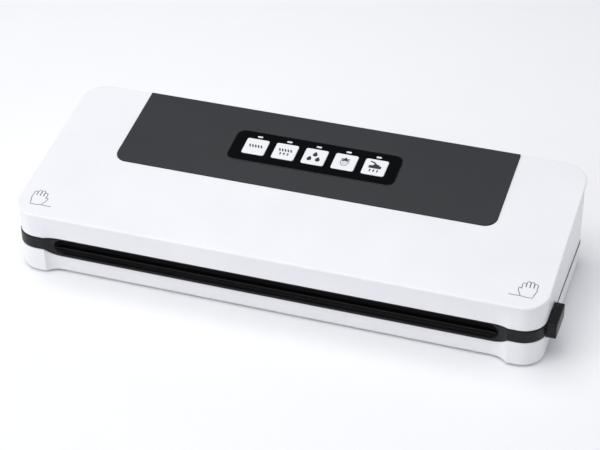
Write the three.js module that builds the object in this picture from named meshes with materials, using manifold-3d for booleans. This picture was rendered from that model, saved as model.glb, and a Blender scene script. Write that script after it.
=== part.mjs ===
// Countertop vacuum sealer. Millimetres, +Z up, the front faces -Y, the origin is on the
// surface the feet stand on. All sizes are drawn about the middle of the body; the whole is
// then moved left by half of what the release button stands out, to centre its overall box.
// A low base carries the sealing bar, the vacuum chamber and the machinery. A sloping lid,
// hinged along the rear, carries the upper seals, the control keys and the latch hooks.
import * as THREE from 'three';
import { mergeVertices } from 'three/addons/utils/BufferGeometryUtils.js';
import Module from 'manifold-3d';

const wasm = await Module();
wasm.setup();

// ---- Driving dimensions ----------------------------------------------------------------
const BODY_W = 375;            // width of lid and base
const BODY_D = 141;            // depth of lid and base
const CORNER_R = 17;           // plan radius of the four corners
const SLOPE = THREE.MathUtils.degToRad(10); // the lid top falls towards the front
const FOOT_H = 1.5;            // rubber feet stand proud of the base by this much
const GAP = 0.3;               // clearance between pieces that meet
const ABOVE = 60;              // higher than the base, for cuts that run out upwards
const FAR = 300;               // wider than the body, for cuts that run out sideways
const WALL = 2.4;              // moulded wall thickness

const BASE_TOP = 20.4;         // top edge of the white base wall
const BAY_TOP = 14.2;          // top edge of the base wall inside the front bay
const LID_SIDE_Z = 21.4;       // lower edge of the lid along the sides and the rear
const LID_FRONT_Z = 29.8;      // lower edge of the lid along the front
const TOP_FRONT_Z = 48.5;      // height of the lid top at its front edge
const STEP_Y = -29.5;          // where the lid's lower edge steps down behind the button

const BAY_INNER = 151;         // half width of the straight stretch of the front bay
const BAY_OUTER = 164.3;       // half width at the crease where the corner blocks begin
const BASE_BAY = 5.2;          // the base wall steps back this far in the bay
const LID_BAY = 3.2;           // the lid's lower edge steps back this far in the bay

const DECK_TOP = 29.5;         // top of the raised sealing platform
const DECK_REAR_TOP = 20.9;    // top of the low rear part of the deck, clear of the lid's heel
const SEAM_TOP = 21.1;         // top of the dark seam between the side walls of lid and base
const SEAM_INSET = 0.6;        // the deck shows as a dark seam this far inside the walls
const SEAM_REAR = 62;          // rear end of that seam along the sides
const PLATFORM_REAR = -1;      // rear end of the raised platform
const SCOOP_R = 6;             // radius of the finger scoop along the front
const SCOOP_Y = -66.6;
const SCOOP_Z = 22.6;

const HINGE_Y = 67.9;
const HINGE_Z = 23.2;
const HINGE_X = 110;           // the two hinges sit this far from the middle
const BARREL_R = 2.4;
const BARREL_W = 24;
const PIN_R = 1.1;
const EAR_W = 7;

const SEAL_LENGTH = 300;       // longest bag that can be welded
const CHAMBER = { x: 148, y0: -38, y1: -9, floor: 18.5, r: 5 };
const HUMP = { x: 150, y0: 3, y1: 60, top: 49, wall: 2, r: 8 }; // cover over the machinery

const PANEL_HALF_W = 137.8;    // dark inlay on the lid
const PANEL_FRONT = 67.7;      // measured up the slope from the front edge
const PANEL_PROUD = 0.9;
const RECESS = 1.6;            // depth of the recess that holds the inlay
const ROOF = 3.4;              // thickness of the lid roof

const STRIP_W = 122;
const STRIP_V0 = 88.2;         // control strip, up the slope from the front edge
const STRIP_V1 = 119.3;
const STRIP_PROUD = 1.0;
const KEY_PITCH = 21.94;
const KEY_W = 16.6;
const KEY_V = 104.2;
const KEY_D = 16.0;
const KEY_PROUD = 1.3;
const LIGHT_V = 114.9;
const KEY_COUNT = 5;

const BUTTON = { y0: -56.5, y1: -30, z0: 18.3, z1: 29.4, out: 6.2, play: 0.5 };
const LATCH_STEP = 340;        // the left latch is the right one carried over by this much

const HW = BODY_W / 2;
const HD = BODY_D / 2;
const FRONT = -HD;

// ---- Materials -------------------------------------------------------------------------
const finish = (color, roughness, metalness = 0) => (
  () => new THREE.MeshStandardMaterial({ color, roughness, metalness })
);
const WHITE_ABS = finish('#f1f1f3', 0.35);
const BLACK_ABS = finish('#141417', 0.4);
const ANTHRACITE = finish('#3a3b3f', 0.6);
const GLOSS_BLACK = finish('#0b0c0e', 0.1);
const KEY_WHITE = finish('#e6e6e9', 0.4);
const CLEAR_LIGHT = finish('#eef0f2', 0.2);
const FOAM = finish('#26272a', 0.9);
const SILICONE = finish('#2b2d30', 0.7);
const RUBBER = finish('#1c1c1e', 0.8);
const STEEL = finish('#b9bcc0', 0.3, 1);
const NICHROME = finish('#8d8a85', 0.35, 1);
const PTFE = finish('#a8875c', 0.5);
const COPPER = finish('#a8622f', 0.4, 1);
const BOARD = finish('#1f5a3a', 0.5);

// ---- Small modelling helpers -----------------------------------------------------------
// A closed geometry as a solid that can be joined and cut.
function solidOf(geometry) {
  const bare = geometry.clone();
  bare.deleteAttribute('normal');
  bare.deleteAttribute('uv');
  const merged = mergeVertices(bare, 1e-4);
  return new wasm.Manifold(new wasm.Mesh({
    numProp: 3,
    vertProperties: new Float32Array(merged.attributes.position.array),
    triVerts: new Uint32Array(merged.index.array),
  }));
}

function geometryOf(solid) {
  const mesh = solid.getMesh();
  const geometry = new THREE.BufferGeometry();
  geometry.setAttribute('position', new THREE.BufferAttribute(mesh.vertProperties, 3));
  geometry.setIndex(new THREE.BufferAttribute(mesh.triVerts, 1));
  geometry.computeVertexNormals();
  return geometry;
}

const cut = (solid, ...tools) => tools.reduce((left, tool) => left.subtract(tool), solid);
const join = (solid, ...more) => more.reduce((all, one) => all.add(one), solid);

function block(x0, x1, y0, y1, z0, z1) {
  const geometry = new THREE.BoxGeometry(x1 - x0, y1 - y0, z1 - z0);
  geometry.translate((x0 + x1) / 2, (y0 + y1) / 2, (z0 + z1) / 2);
  return geometry;
}

// A shape drawn in plan, raised from z0 to z1.
function slab(shape, z0, z1, curveSegments = 6) {
  const geometry = new THREE.ExtrudeGeometry(shape, { depth: z1 - z0, bevelEnabled: false, curveSegments });
  geometry.translate(0, 0, z0);
  return geometry;
}

// An outline drawn in the Y-Z plane as [y, z] points, carried along X.
function prism(points, x0, x1) {
  const shape = new THREE.Shape(points.map(([y, z]) => new THREE.Vector2(y, z)));
  const geometry = new THREE.ExtrudeGeometry(shape, { depth: x1 - x0, bevelEnabled: false });
  geometry.applyMatrix4(new THREE.Matrix4().set(0, 0, 1, x0, 1, 0, 0, 0, 0, 1, 0, 0, 0, 0, 0, 1));
  return geometry;
}

function rodX(x0, x1, y, z, radius, sides = 16) {
  const geometry = new THREE.CylinderGeometry(radius, radius, x1 - x0, sides);
  geometry.rotateZ(Math.PI / 2);
  geometry.translate((x0 + x1) / 2, y, z);
  return geometry;
}

function rodY(x, y0, y1, z, radius, sides = 16) {
  const geometry = new THREE.CylinderGeometry(radius, radius, y1 - y0, sides);
  geometry.translate(x, (y0 + y1) / 2, z);
  return geometry;
}

function rodZ(x, y, z0, z1, radius, sides = 16) {
  const geometry = new THREE.CylinderGeometry(radius, radius, z1 - z0, sides);
  geometry.rotateX(Math.PI / 2);
  geometry.translate(x, y, (z0 + z1) / 2);
  return geometry;
}

// A turned piece: radii and heights along an axis that starts at the origin and runs up +Z.
function turned(profile, sides = 16) {
  const geometry = new THREE.LatheGeometry(profile.map(([r, z]) => new THREE.Vector2(r, z)), sides);
  geometry.rotateX(Math.PI / 2);
  return geometry;
}

function roundedRect(x0, x1, y0, y1, radius) {
  const shape = new THREE.Shape();
  shape.moveTo(x0 + radius, y0);
  shape.lineTo(x1 - radius, y0);
  shape.absarc(x1 - radius, y0 + radius, radius, -Math.PI / 2, 0, false);
  shape.lineTo(x1, y1 - radius);
  shape.absarc(x1 - radius, y1 - radius, radius, 0, Math.PI / 2, false);
  shape.lineTo(x0 + radius, y1);
  shape.absarc(x0 + radius, y1 - radius, radius, Math.PI / 2, Math.PI, false);
  shape.lineTo(x0, y0 + radius);
  shape.absarc(x0 + radius, y0 + radius, radius, Math.PI, 1.5 * Math.PI, false);
  return shape;
}

// The body's plan, drawn in by `inset`, with a shallow bay along the front that curves out
// to a crease at each corner block.
function bodyPlan(inset, bayDepth) {
  const w = HW - inset;
  const r = CORNER_R - inset;
  const front = FRONT + inset;
  const rear = HD - inset;
  const bay = front + bayDepth;
  const third = (BAY_OUTER - BAY_INNER) / 3;
  const shape = new THREE.Shape();
  shape.moveTo(-BAY_INNER, bay);
  shape.lineTo(BAY_INNER, bay);
  if (bayDepth > 0) {
    shape.bezierCurveTo(BAY_INNER + third, bay, BAY_OUTER - third, bay, BAY_OUTER, front);
  }
  shape.lineTo(w - r, front);
  shape.absarc(w - r, front + r, r, -Math.PI / 2, 0, false);
  shape.lineTo(w, rear - r);
  shape.absarc(w - r, rear - r, r, 0, Math.PI / 2, false);
  shape.lineTo(r - w, rear);
  shape.absarc(r - w, rear - r, r, Math.PI / 2, Math.PI, false);
  shape.lineTo(-w, front + r);
  shape.absarc(r - w, front + r, r, Math.PI, 1.5 * Math.PI, false);
  if (bayDepth > 0) {
    shape.lineTo(-BAY_OUTER, front);
    shape.bezierCurveTo(third - BAY_OUTER, bay, -BAY_INNER - third, bay, -BAY_INNER, bay);
  }
  return shape;
}

// Everything above the sloping plane that lies `lift` over the lid top.
function aboveSlope(lift) {
  const geometry = block(-FAR, FAR, -BODY_D, FAR, 0, FAR);
  geometry.rotateX(SLOPE);
  geometry.translate(0, FRONT, TOP_FRONT_Z + lift / Math.cos(SLOPE));
  return solidOf(geometry);
}

// The slope's own frame: X across, Y up the slope from the front edge, Z out of the top.
const slopeMatrix = new THREE.Matrix4()
  .makeRotationX(SLOPE)
  .setPosition(0, FRONT, TOP_FRONT_Z);
const onSlope = (geometry) => geometry.applyMatrix4(slopeMatrix);

// ---- The assembly ----------------------------------------------------------------------
const sealer = new THREE.Group();
sealer.position.x = -BUTTON.out / 2;
const slopeGroup = new THREE.Group();
slopeGroup.position.set(0, FRONT, TOP_FRONT_Z);
slopeGroup.rotation.x = SLOPE;
sealer.add(slopeGroup);

function add(name, geometry, material, group = sealer) {
  const mesh = new THREE.Mesh(geometry, material());
  mesh.name = name;
  group.add(mesh);
  return mesh;
}

const SIDES = [['left', -1], ['right', 1]];
const LATCHES = [['left', LATCH_STEP], ['right', 0]];

// The span from a to b on one side of the middle, lowest first.
const span = (side, a, b) => (side > 0 ? [a, b] : [-b, -a]);

// A block given by its distance from the middle, on either side.
const sideBlock = (side, x0, x1, y0, y1, z0, z1) => block(...span(side, x0, x1), y0, y1, z0, z1);

// A ring in plan between two rounded rectangles, each given as [halfWidth, y0, y1, radius].
function ringPlan(outer, inner) {
  const shape = roundedRect(-outer[0], outer[0], outer[1], outer[2], outer[3]);
  shape.holes.push(roundedRect(-inner[0], inner[0], inner[1], inner[2], inner[3]));
  return shape;
}

// ---- Base: housing, feet and screws ------------------------------------------------------
const FLOOR = FOOT_H + WALL;
const FOOT_R = 8;
const FOOT_PLACES = [
  ['foot_front_left', -145, -46],
  ['foot_front_right', 145, -46],
  ['foot_rear_left', -145, 46],
  ['foot_rear_right', 145, 46],
];
const FOOT_SEAT = 0.8;         // depth of the seat that holds a foot
const SCREW_R = 1.5;
const SCREW_HEAD = { r: 2.8, h: 2.2 };
const SCREW_SEAT_R = 3.2;
const SCREW_TUBE_R = 4.4;
const SCREW_PLACES = [
  ['base_screw_front_left', -165, -14],
  ['base_screw_front_right', 165, -14],
  ['base_screw_rear_left', -165, 52],
  ['base_screw_rear_right', 165, 52],
];
const TUBE_TOP = 15.2;
const CORD = { x: -128, z: 11, hole: 4.3, flange: 6.4 };
const PLATE_Z = 15.5;          // underside of the deck plate
const PLATE_INSET = 0.3 + WALL + GAP; // the deck plate drops inside the base wall
const RECESS_X = HW - 2.9;     // the deck steps in here behind the release button
const OUTER_INSET = 0.3;       // the base wall stands this far inside the lid's outline

const BAY_CUT = BAY_OUTER - 2; // the low stretch of the base wall ends short of the crease
const BAY_CUT_DEPTH = 9;

function hingeBarrel(x) {
  const [x0, x1] = [x - BARREL_W / 2, x + BARREL_W / 2];
  const barrel = solidOf(rodX(x0, x1, HINGE_Y, HINGE_Z, BARREL_R));
  const web = solidOf(block(x0, x1, HINGE_Y - BARREL_R, HD - OUTER_INSET, BAY_TOP, HINGE_Z));
  return barrel.add(web);
}

function lowerHousing() {
  let shell = solidOf(slab(bodyPlan(OUTER_INSET, BASE_BAY), FOOT_H, BASE_TOP));
  shell = shell.subtract(solidOf(slab(bodyPlan(OUTER_INSET + WALL, BASE_BAY), FLOOR, ABOVE)));
  const bay = block(-BAY_CUT, BAY_CUT, FRONT - 5, FRONT + BAY_CUT_DEPTH, BAY_TOP, ABOVE);
  shell = shell.subtract(solidOf(bay));
  for (const [, x, y] of FOOT_PLACES) {
    shell = shell.subtract(solidOf(rodZ(x, y, 0, FOOT_H + FOOT_SEAT, FOOT_R + GAP, 20)));
  }
  for (const [, x, y] of SCREW_PLACES) {
    shell = shell.add(solidOf(rodZ(x, y, FOOT_H + 0.5, TUBE_TOP, SCREW_TUBE_R, 12)));
    shell = shell.subtract(solidOf(rodZ(x, y, 0, ABOVE, SCREW_R + GAP, 12)));
    shell = shell.subtract(solidOf(rodZ(x, y, 0, 5, SCREW_SEAT_R, 12)));
  }
  for (const [, side] of SIDES) {
    const x = side * HINGE_X;
    shell = shell.add(hingeBarrel(x));
    shell = shell.subtract(solidOf(rodX(x - 40, x + 40, HINGE_Y, HINGE_Z, PIN_R + 0.2, 12)));
  }
  const notch = block(
    HW - 8, HW + 5, BUTTON.y0 - BUTTON.play, BUTTON.y1 + BUTTON.play, BUTTON.z0 - GAP, ABOVE,
  );
  const sleeveHole = solidOf(rodY(CORD.x, HD - 8, HD + 5, CORD.z, CORD.hole));
  const flangeSeat = solidOf(rodY(CORD.x, HD - 1.9, HD + 5, CORD.z, CORD.flange + GAP));
  return geometryOf(cut(shell, solidOf(notch), sleeveHole, flangeSeat));
}

add('lower_housing', lowerHousing(), WHITE_ABS);

for (const [name, x, y] of FOOT_PLACES) {
  const foot = turned([[0, 0], [FOOT_R - 1, 0], [FOOT_R, 1], [FOOT_R, 2], [0, 2]], 20);
  add(name, foot, RUBBER).position.set(x, y, 0);
}

// A pan-head screw, head down.
const screw = (shank) => turned([
  [0, 0], [SCREW_HEAD.r - 0.6, 0], [SCREW_HEAD.r, 0.8], [SCREW_HEAD.r, SCREW_HEAD.h],
  [SCREW_R, SCREW_HEAD.h], [SCREW_R, shank], [0, shank + 1],
], 12);
for (const [name, x, y] of SCREW_PLACES) {
  add(name, screw(16), STEEL).position.set(x, y, 2.5);
}

// The inlet grommet of the supply lead, a flanged sleeve clipped into the rear wall.
const gland = turned([[3, 0], [4, 0], [4, 4.3], [CORD.flange, 4.4], [CORD.flange, 5.5], [3, 6], [3, 0]], 16);
gland.rotateX(-Math.PI / 2);
add('cord_gland', gland, RUBBER).position.set(CORD.x, HD - 6, CORD.z);

// ---- Base: the black deck ----------------------------------------------------------------
const GROOVE_OUT = [155, -44.5, -2.5, 10];
const GROOVE_IN = [150, -39.5, -7.5, 5];
const GROOVE_Z = 26.5;
const HEATER = { x: 152, y0: -60, y1: -51, z: 26, top: 29.3 };
const ELEMENT = { y0: -56.8, y1: -54.2, z0: 29.6, z1: 29.8 };
const TAPE = { over: 1, y0: -59.4, y1: -51.6, z0: 30, z1: 30.2 };
const GASKET_TOP = 30.7;
const NOZZLE = { x: 60, z: 22.8, r: 2.7, bore: 1.6, length: 22, tip: 3 };
const POCKET = { x0: 151.5, x1: 182.3, y0: -58, y1: -28.5, top: 25.3 }; // under each latch
const TUNNEL = { x: 152, y0: -57.5, y1: -46.5, top: 24 }; // joins the two pockets
const HOOK_Y = [-47, -39];
const SLOT = { x0: 164.5, x1: 175, play: 2 }; // the latch hooks pass down through these
const STEM = { x0: 160, y0: -51, y1: -35, z0: 21.6, z1: 24.6, play: 0.6 };
const DECK_INSET = 0.4;        // the platform's sides stand this far inside the lid's outline
const LIP_BAY = LID_BAY + 0.8; // the lip below the scoop stands this far back
const PLATFORM_INSET = WALL + 0.9;

// The finger scoop: a round-ended trough along the bay.
function scoop() {
  const end = new THREE.SphereGeometry(SCOOP_R, 20, 12);
  end.rotateZ(Math.PI / 2);
  const tools = [-BAY_INNER, BAY_INNER].map((x) => solidOf(end.clone().translate(x, SCOOP_Y, SCOOP_Z)));
  return join(solidOf(rodX(-BAY_INNER, BAY_INNER, SCOOP_Y, SCOOP_Z, SCOOP_R, 20)), ...tools);
}

function chamberDeck() {
  const plate = solidOf(slab(bodyPlan(PLATE_INSET, BASE_BAY), PLATE_Z, DECK_REAR_TOP));
  const seam = solidOf(slab(bodyPlan(SEAM_INSET, BASE_BAY), BASE_TOP + GAP, SEAM_TOP))
    .intersect(solidOf(block(-FAR, FAR, -FAR, SEAM_REAR, 0, ABOVE)));
  const front = solidOf(slab(bodyPlan(DECK_INSET, LID_BAY), BASE_TOP + GAP, DECK_TOP));
  const frontPart = front.intersect(solidOf(block(-FAR, FAR, -FAR, STEP_Y, 0, ABOVE)));
  const inner = solidOf(block(
    PLATFORM_INSET - HW, HW - PLATFORM_INSET, STEP_Y - 1, PLATFORM_REAR, PLATE_Z + 1, DECK_TOP,
  ));
  const lip = solidOf(slab(bodyPlan(DECK_INSET, LIP_BAY), BAY_TOP + GAP, BASE_TOP + 0.5));
  const lipPart = lip.intersect(solidOf(block(
    GAP - BAY_CUT, BAY_CUT - GAP, -FAR, FRONT + BAY_CUT_DEPTH + 3, 0, ABOVE,
  )));
  let deck = cut(
    join(plate, seam, frontPart, inner, lipPart),
    scoop(),
    solidOf(slab(roundedRect(-CHAMBER.x, CHAMBER.x, CHAMBER.y0, CHAMBER.y1, CHAMBER.r), CHAMBER.floor, ABOVE)),
    solidOf(slab(ringPlan(GROOVE_OUT, GROOVE_IN), GROOVE_Z, ABOVE)),
    solidOf(block(-HEATER.x, HEATER.x, HEATER.y0, HEATER.y1, HEATER.z, ABOVE)),
    solidOf(block(-TUNNEL.x, TUNNEL.x, TUNNEL.y0, TUNNEL.y1, 0, TUNNEL.top)),
    solidOf(block(4 - HUMP.x, HUMP.x - 4, HUMP.y0 + 3, HUMP.y1 - 3, 0, ABOVE)),
    solidOf(rodY(NOZZLE.x, -20, 10, NOZZLE.z, NOZZLE.r + GAP, 12)),
    solidOf(block(
      RECESS_X, HW + 5, BUTTON.y0 - BUTTON.play, BUTTON.y1 + BUTTON.play + 0.5, BUTTON.z0 - GAP, ABOVE,
    )),
    solidOf(block(
      POCKET.x1 - 1, HW + 5, STEM.y0 - STEM.play, STEM.y1 + STEM.play, STEM.z0 - 0.4, POCKET.top,
    )),
  );
  for (const [, side] of SIDES) {
    const hinge = span(side, HINGE_X - BARREL_W / 2 - 0.4, HINGE_X + BARREL_W / 2 + 0.4);
    const ears = span(side, HINGE_X - BARREL_W / 2 - EAR_W - 1, HINGE_X + BARREL_W / 2 + EAR_W + 1);
    deck = cut(
      deck,
      solidOf(sideBlock(side, POCKET.x0, POCKET.x1, POCKET.y0, POCKET.y1, 0, POCKET.top)),
      solidOf(block(...hinge, HINGE_Y - BARREL_R - GAP, HD, 0, ABOVE)),
      solidOf(block(...ears, HINGE_Y - 4, HD, 19.6, ABOVE)),
    );
  }
  for (const [, shift] of LATCHES) {
    const slot = block(
      SLOT.x0 - shift, SLOT.x1 - shift, HOOK_Y[0] - SLOT.play, HOOK_Y[1] + SLOT.play, 0, ABOVE,
    );
    deck = deck.subtract(solidOf(slot));
  }
  for (const [, x, y] of SCREW_PLACES) {
    deck = deck.subtract(solidOf(rodZ(x, y, 10, 20, SCREW_R + GAP, 12)));
  }
  return geometryOf(deck);
}

add('chamber_deck', chamberDeck(), BLACK_ABS);

const shrink = ([x, y0, y1, r], by) => [x - by, y0 + by, y1 - by, r - by];
const sealPlan = ringPlan(shrink(GROOVE_OUT, GAP), shrink(GROOVE_IN, -GAP));
add('lower_gasket', slab(sealPlan, GROOVE_Z + GAP, GASKET_TOP), FOAM);

const HALF_SEAL = SEAL_LENGTH / 2;

// A strip that lies along the seal, `half` to each side of the middle.
const strip = (half, { y0, y1, z0, z1 }) => block(-half, half, y0, y1, z0, z1);
add('heater_bar', strip(HEATER.x - GAP, {
  y0: HEATER.y0 + GAP, y1: HEATER.y1 - GAP, z0: HEATER.z + GAP, z1: HEATER.top,
}), SILICONE);
add('heating_element', strip(HALF_SEAL, ELEMENT), NICHROME);
add('ptfe_tape', strip(HALF_SEAL + TAPE.over, TAPE), PTFE);

// ---- Base: the machinery under its cover ---------------------------------------------------
function equipmentCover() {
  const { x, y0, y1, top, wall, r } = HUMP;
  const shell = solidOf(slab(roundedRect(-x, x, y0, y1, r), SEAM_TOP + GAP, top));
  const hollow = solidOf(slab(roundedRect(wall - x, x - wall, y0 + wall, y1 - wall, r - wall), 0, top - wall));
  const nozzleHole = solidOf(rodY(NOZZLE.x, y0 - 3, y0 + 6, NOZZLE.z, NOZZLE.r + GAP, 12));
  return geometryOf(cut(shell, hollow, nozzleHole));
}
add('equipment_cover', equipmentCover(), BLACK_ABS);

// Straight pipe from the chamber's rear wall to the hose, with a bore.
const nozzle = turned([
  [NOZZLE.bore, 0], [NOZZLE.r, 0], [NOZZLE.r, NOZZLE.length - NOZZLE.tip],
  [NOZZLE.r - 0.5, NOZZLE.length], [NOZZLE.bore, NOZZLE.length], [NOZZLE.bore, 0],
], 12);
const NOZZLE_START = CHAMBER.y1 - 3;
nozzle.rotateX(-Math.PI / 2);
add('suction_nozzle', nozzle, BLACK_ABS).position.set(NOZZLE.x, NOZZLE_START, NOZZLE.z);

const PUMP = { x0: 38, x1: 72, y0: 26, y1: 54, z0: 6, z1: 40 };
const PORT = { x: 52, z: 31, r: 1.8, out: 4 };
const PUMP_CAP = { x: 55, r: 11, out: 4 };
const PUMP_Y = (PUMP.y0 + PUMP.y1) / 2;
const MOTOR = { r: 13.5, length: 42, shaft: 4, z: 21 };
const VALVE = { x: 18, z: 20, r: 7 };
const HOSE = { r: 2.6, bore: 1.5, bend: 1.5 };


function pumpHead() {
  const body = solidOf(block(PUMP.x0, PUMP.x1, PUMP.y0, PUMP.y1, PUMP.z0, PUMP.z1));
  const port = solidOf(rodY(PORT.x, PUMP.y0 - PORT.out, PUMP.y0 + 2, PORT.z, PORT.r, 10));
  const cap = solidOf(rodZ(PUMP_CAP.x, PUMP_Y, PUMP.z1 - 1, PUMP.z1 + PUMP_CAP.out, PUMP_CAP.r, 20));
  return geometryOf(join(body, port, cap));
}
add('pump_head', pumpHead(), BLACK_ABS);
const motor = turned([
  [0, 0], [MOTOR.r - 0.5, 0], [MOTOR.r, 1], [MOTOR.r, MOTOR.length - 2],
  [MOTOR.r - 1.5, MOTOR.length], [MOTOR.shaft, MOTOR.length],
  [MOTOR.shaft, MOTOR.length + 3], [0, MOTOR.length + 3],
], 20);
motor.rotateY(Math.PI / 2);
add('pump_motor', motor, STEEL).position.set(PUMP.x1 + GAP, PUMP_Y, MOTOR.z);

const HOSE_START = NOZZLE_START + NOZZLE.length + GAP;
const HOSE_END = PUMP.y0 - PORT.out - GAP;
const hosePath = new THREE.CatmullRomCurve3([
  new THREE.Vector3(NOZZLE.x, HOSE_START, NOZZLE.z),
  new THREE.Vector3(NOZZLE.x, HOSE_START + HOSE.bend, NOZZLE.z),
  new THREE.Vector3(56, 16, 27),
  new THREE.Vector3(PORT.x, HOSE_END - HOSE.bend, PORT.z),
  new THREE.Vector3(PORT.x, HOSE_END, PORT.z),
]);
const hoseWall = new THREE.Shape().absarc(0, 0, HOSE.r, 0, 2 * Math.PI, false);
hoseWall.holes.push(new THREE.Path().absarc(0, 0, HOSE.bore, 0, 2 * Math.PI, true));
const hoseSweep = { steps: 12, curveSegments: 5, extrudePath: hosePath, bevelEnabled: false };
add('air_hose', new THREE.ExtrudeGeometry(hoseWall, hoseSweep), RUBBER);

add('vent_valve', rodX(VALVE.x, PUMP.x0 - GAP, PUMP_Y, VALVE.z, VALVE.r, 16), BLACK_ABS);

const CORE = { x0: -120, x1: -64, y0: 22, y1: 44, z0: FLOOR + GAP, z1: 44 };
function transformerCore() {
  const windows = [[-112, -100], [-84, -72]].map(([x0, x1]) => solidOf(block(x0, x1, 0, 80, 12, 36)));
  return geometryOf(cut(solidOf(block(CORE.x0, CORE.x1, CORE.y0, CORE.y1, CORE.z0, CORE.z1)), ...windows));
}
add('transformer_core', transformerCore(), STEEL);
const coil = roundedRect(-111.7, -72.3, 14, 52, 4);
coil.holes.push(roundedRect(-100.3, -83.7, CORE.y0 - GAP, CORE.y1 + GAP, 0.5));
add('transformer_winding', slab(coil, 12.3, 35.7, 3), COPPER);

function powerBoard() {
  const board = solidOf(block(-52, 12, 10, 55, FLOOR + GAP, FLOOR + GAP + 1.6));
  const top = FLOOR + GAP + 1;
  return geometryOf(join(
    board,
    solidOf(block(-48, -30, 14, 32, top, top + 16)),
    solidOf(rodZ(-16, 22, top, top + 20, 6, 16)),
    solidOf(rodZ(2, 22, top, top + 14, 4, 12)),
    solidOf(block(-46, -20, 38, 50, top, top + 10)),
    solidOf(block(-12, 8, 36, 50, top, top + 8)),
  ));
}
add('power_board', powerBoard(), BOARD);

// ---- Hinge pins --------------------------------------------------------------------------
for (const [word, side] of SIDES) {
  const reach = BARREL_W / 2 + EAR_W - 0.6;
  const pin = rodX(side * HINGE_X - reach, side * HINGE_X + reach, HINGE_Y, HINGE_Z, PIN_R, 12);
  add(`hinge_pin_${word}`, pin, STEEL);
}

// ---- Release button, its spring and the bar to the left catch ---------------------------------
const CATCH = { x0: 165, x1: 177, play: 1.5 }; // window whose inner edge catches a hook
const SPRING = { x: 152.2, y: -43, z: 21.5, r: 2.6, wire: 0.45, turns: 5, length: 7 };
const BAR = { x: -162, y0: -56.5, y1: -51.3, z0: 19, z1: 23 };
const LEFT_PLATE = { x0: -179, x1: -161 };

class Helix extends THREE.Curve {
  getPoint(t) {
    const angle = 2 * Math.PI * SPRING.turns * t;
    return new THREE.Vector3(
      SPRING.length * t, SPRING.r * Math.cos(angle), SPRING.r * Math.sin(angle),
    );
  }
}

// The window that a latch hook drops through, `shift` to the left of the right one.
const catchWindow = (shift) => solidOf(block(
  CATCH.x0 - shift, CATCH.x1 - shift, HOOK_Y[0] - CATCH.play, HOOK_Y[1] + CATCH.play, 0, ABOVE,
));

function releaseButton() {
  const pad = solidOf(block(HW - 0.5, HW + BUTTON.out, BUTTON.y0, BUTTON.y1, BUTTON.z0, BUTTON.z1));
  const stem = solidOf(block(STEM.x0, HW, STEM.y0, STEM.y1, STEM.z0, STEM.z1));
  return geometryOf(cut(join(pad, stem), catchWindow(0)));
}
add('release_button', releaseButton(), BLACK_ABS);

function catchBar() {
  const bar = solidOf(block(BAR.x, STEM.x0 + 3, BAR.y0, BAR.y1, BAR.z0, BAR.z1));
  const plate = solidOf(block(LEFT_PLATE.x0, LEFT_PLATE.x1, BAR.y0, STEM.y1, STEM.z0, STEM.z1));
  return geometryOf(cut(join(bar, plate), catchWindow(LATCH_STEP)));
}
add('catch_bar', catchBar(), BLACK_ABS);

const wire = new THREE.Shape().absarc(0, 0, SPRING.wire, 0, 2 * Math.PI, false);
const springSweep = { steps: 50, curveSegments: 3, extrudePath: new Helix(), bevelEnabled: false };
add('release_spring', new THREE.ExtrudeGeometry(wire, springSweep), STEEL)
  .position.set(SPRING.x, SPRING.y, SPRING.z);

// ---- Lid ---------------------------------------------------------------------------------
const LID_TALL = 90;           // higher than the lid before its top is cut to the slope
const LID_PLATE = { z0: 33, z1: 35, rear: -6 };
const PRESS = { y0: -59, y1: -52, z0: 30.5 };
const UPPER_GASKET_Z = 31;
const HOOK = { flange: 163.5, over: 1, shank0: 168, shank1: 172, low: 18.8, play: 0.4 };
const LID_SCREWS = [
  ['lid_screw_front_left', -176, -60],
  ['lid_screw_front_right', 176, -60],
  ['lid_screw_rear_left', -176, -13],
  ['lid_screw_rear_right', 176, -13],
];
const BAY_EDGE = 4;            // the lean of the skirt ends this far inside the crease
const LID_BOSS_R = 3.6;
const BOARD_POST = { x: 58, v: [93, 114], r: 2.2 };
const BOARD_W = -7.5;          // face of the control board, below the lid top
const STRIP_R = 6;
const PANEL_R = 9;

// Key positions across the lid, left to right.
const keyX = (index) => KEY_PITCH * (index - (KEY_COUNT - 1) / 2);

function lidEars(side) {
  const inner = BARREL_W / 2 + 0.4;
  const ends = [[HINGE_X - inner - EAR_W, HINGE_X - inner], [HINGE_X + inner, HINGE_X + inner + EAR_W]];
  return ends.map(([a, b]) => {
    const [x0, x1] = span(side, a, b);
    const eye = solidOf(rodX(x0, x1, HINGE_Y, HINGE_Z, 2.1));
    return eye.add(solidOf(block(x0, x1, HINGE_Y - 2.1, HD - 0.5, HINGE_Z, 28)));
  });
}

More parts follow.
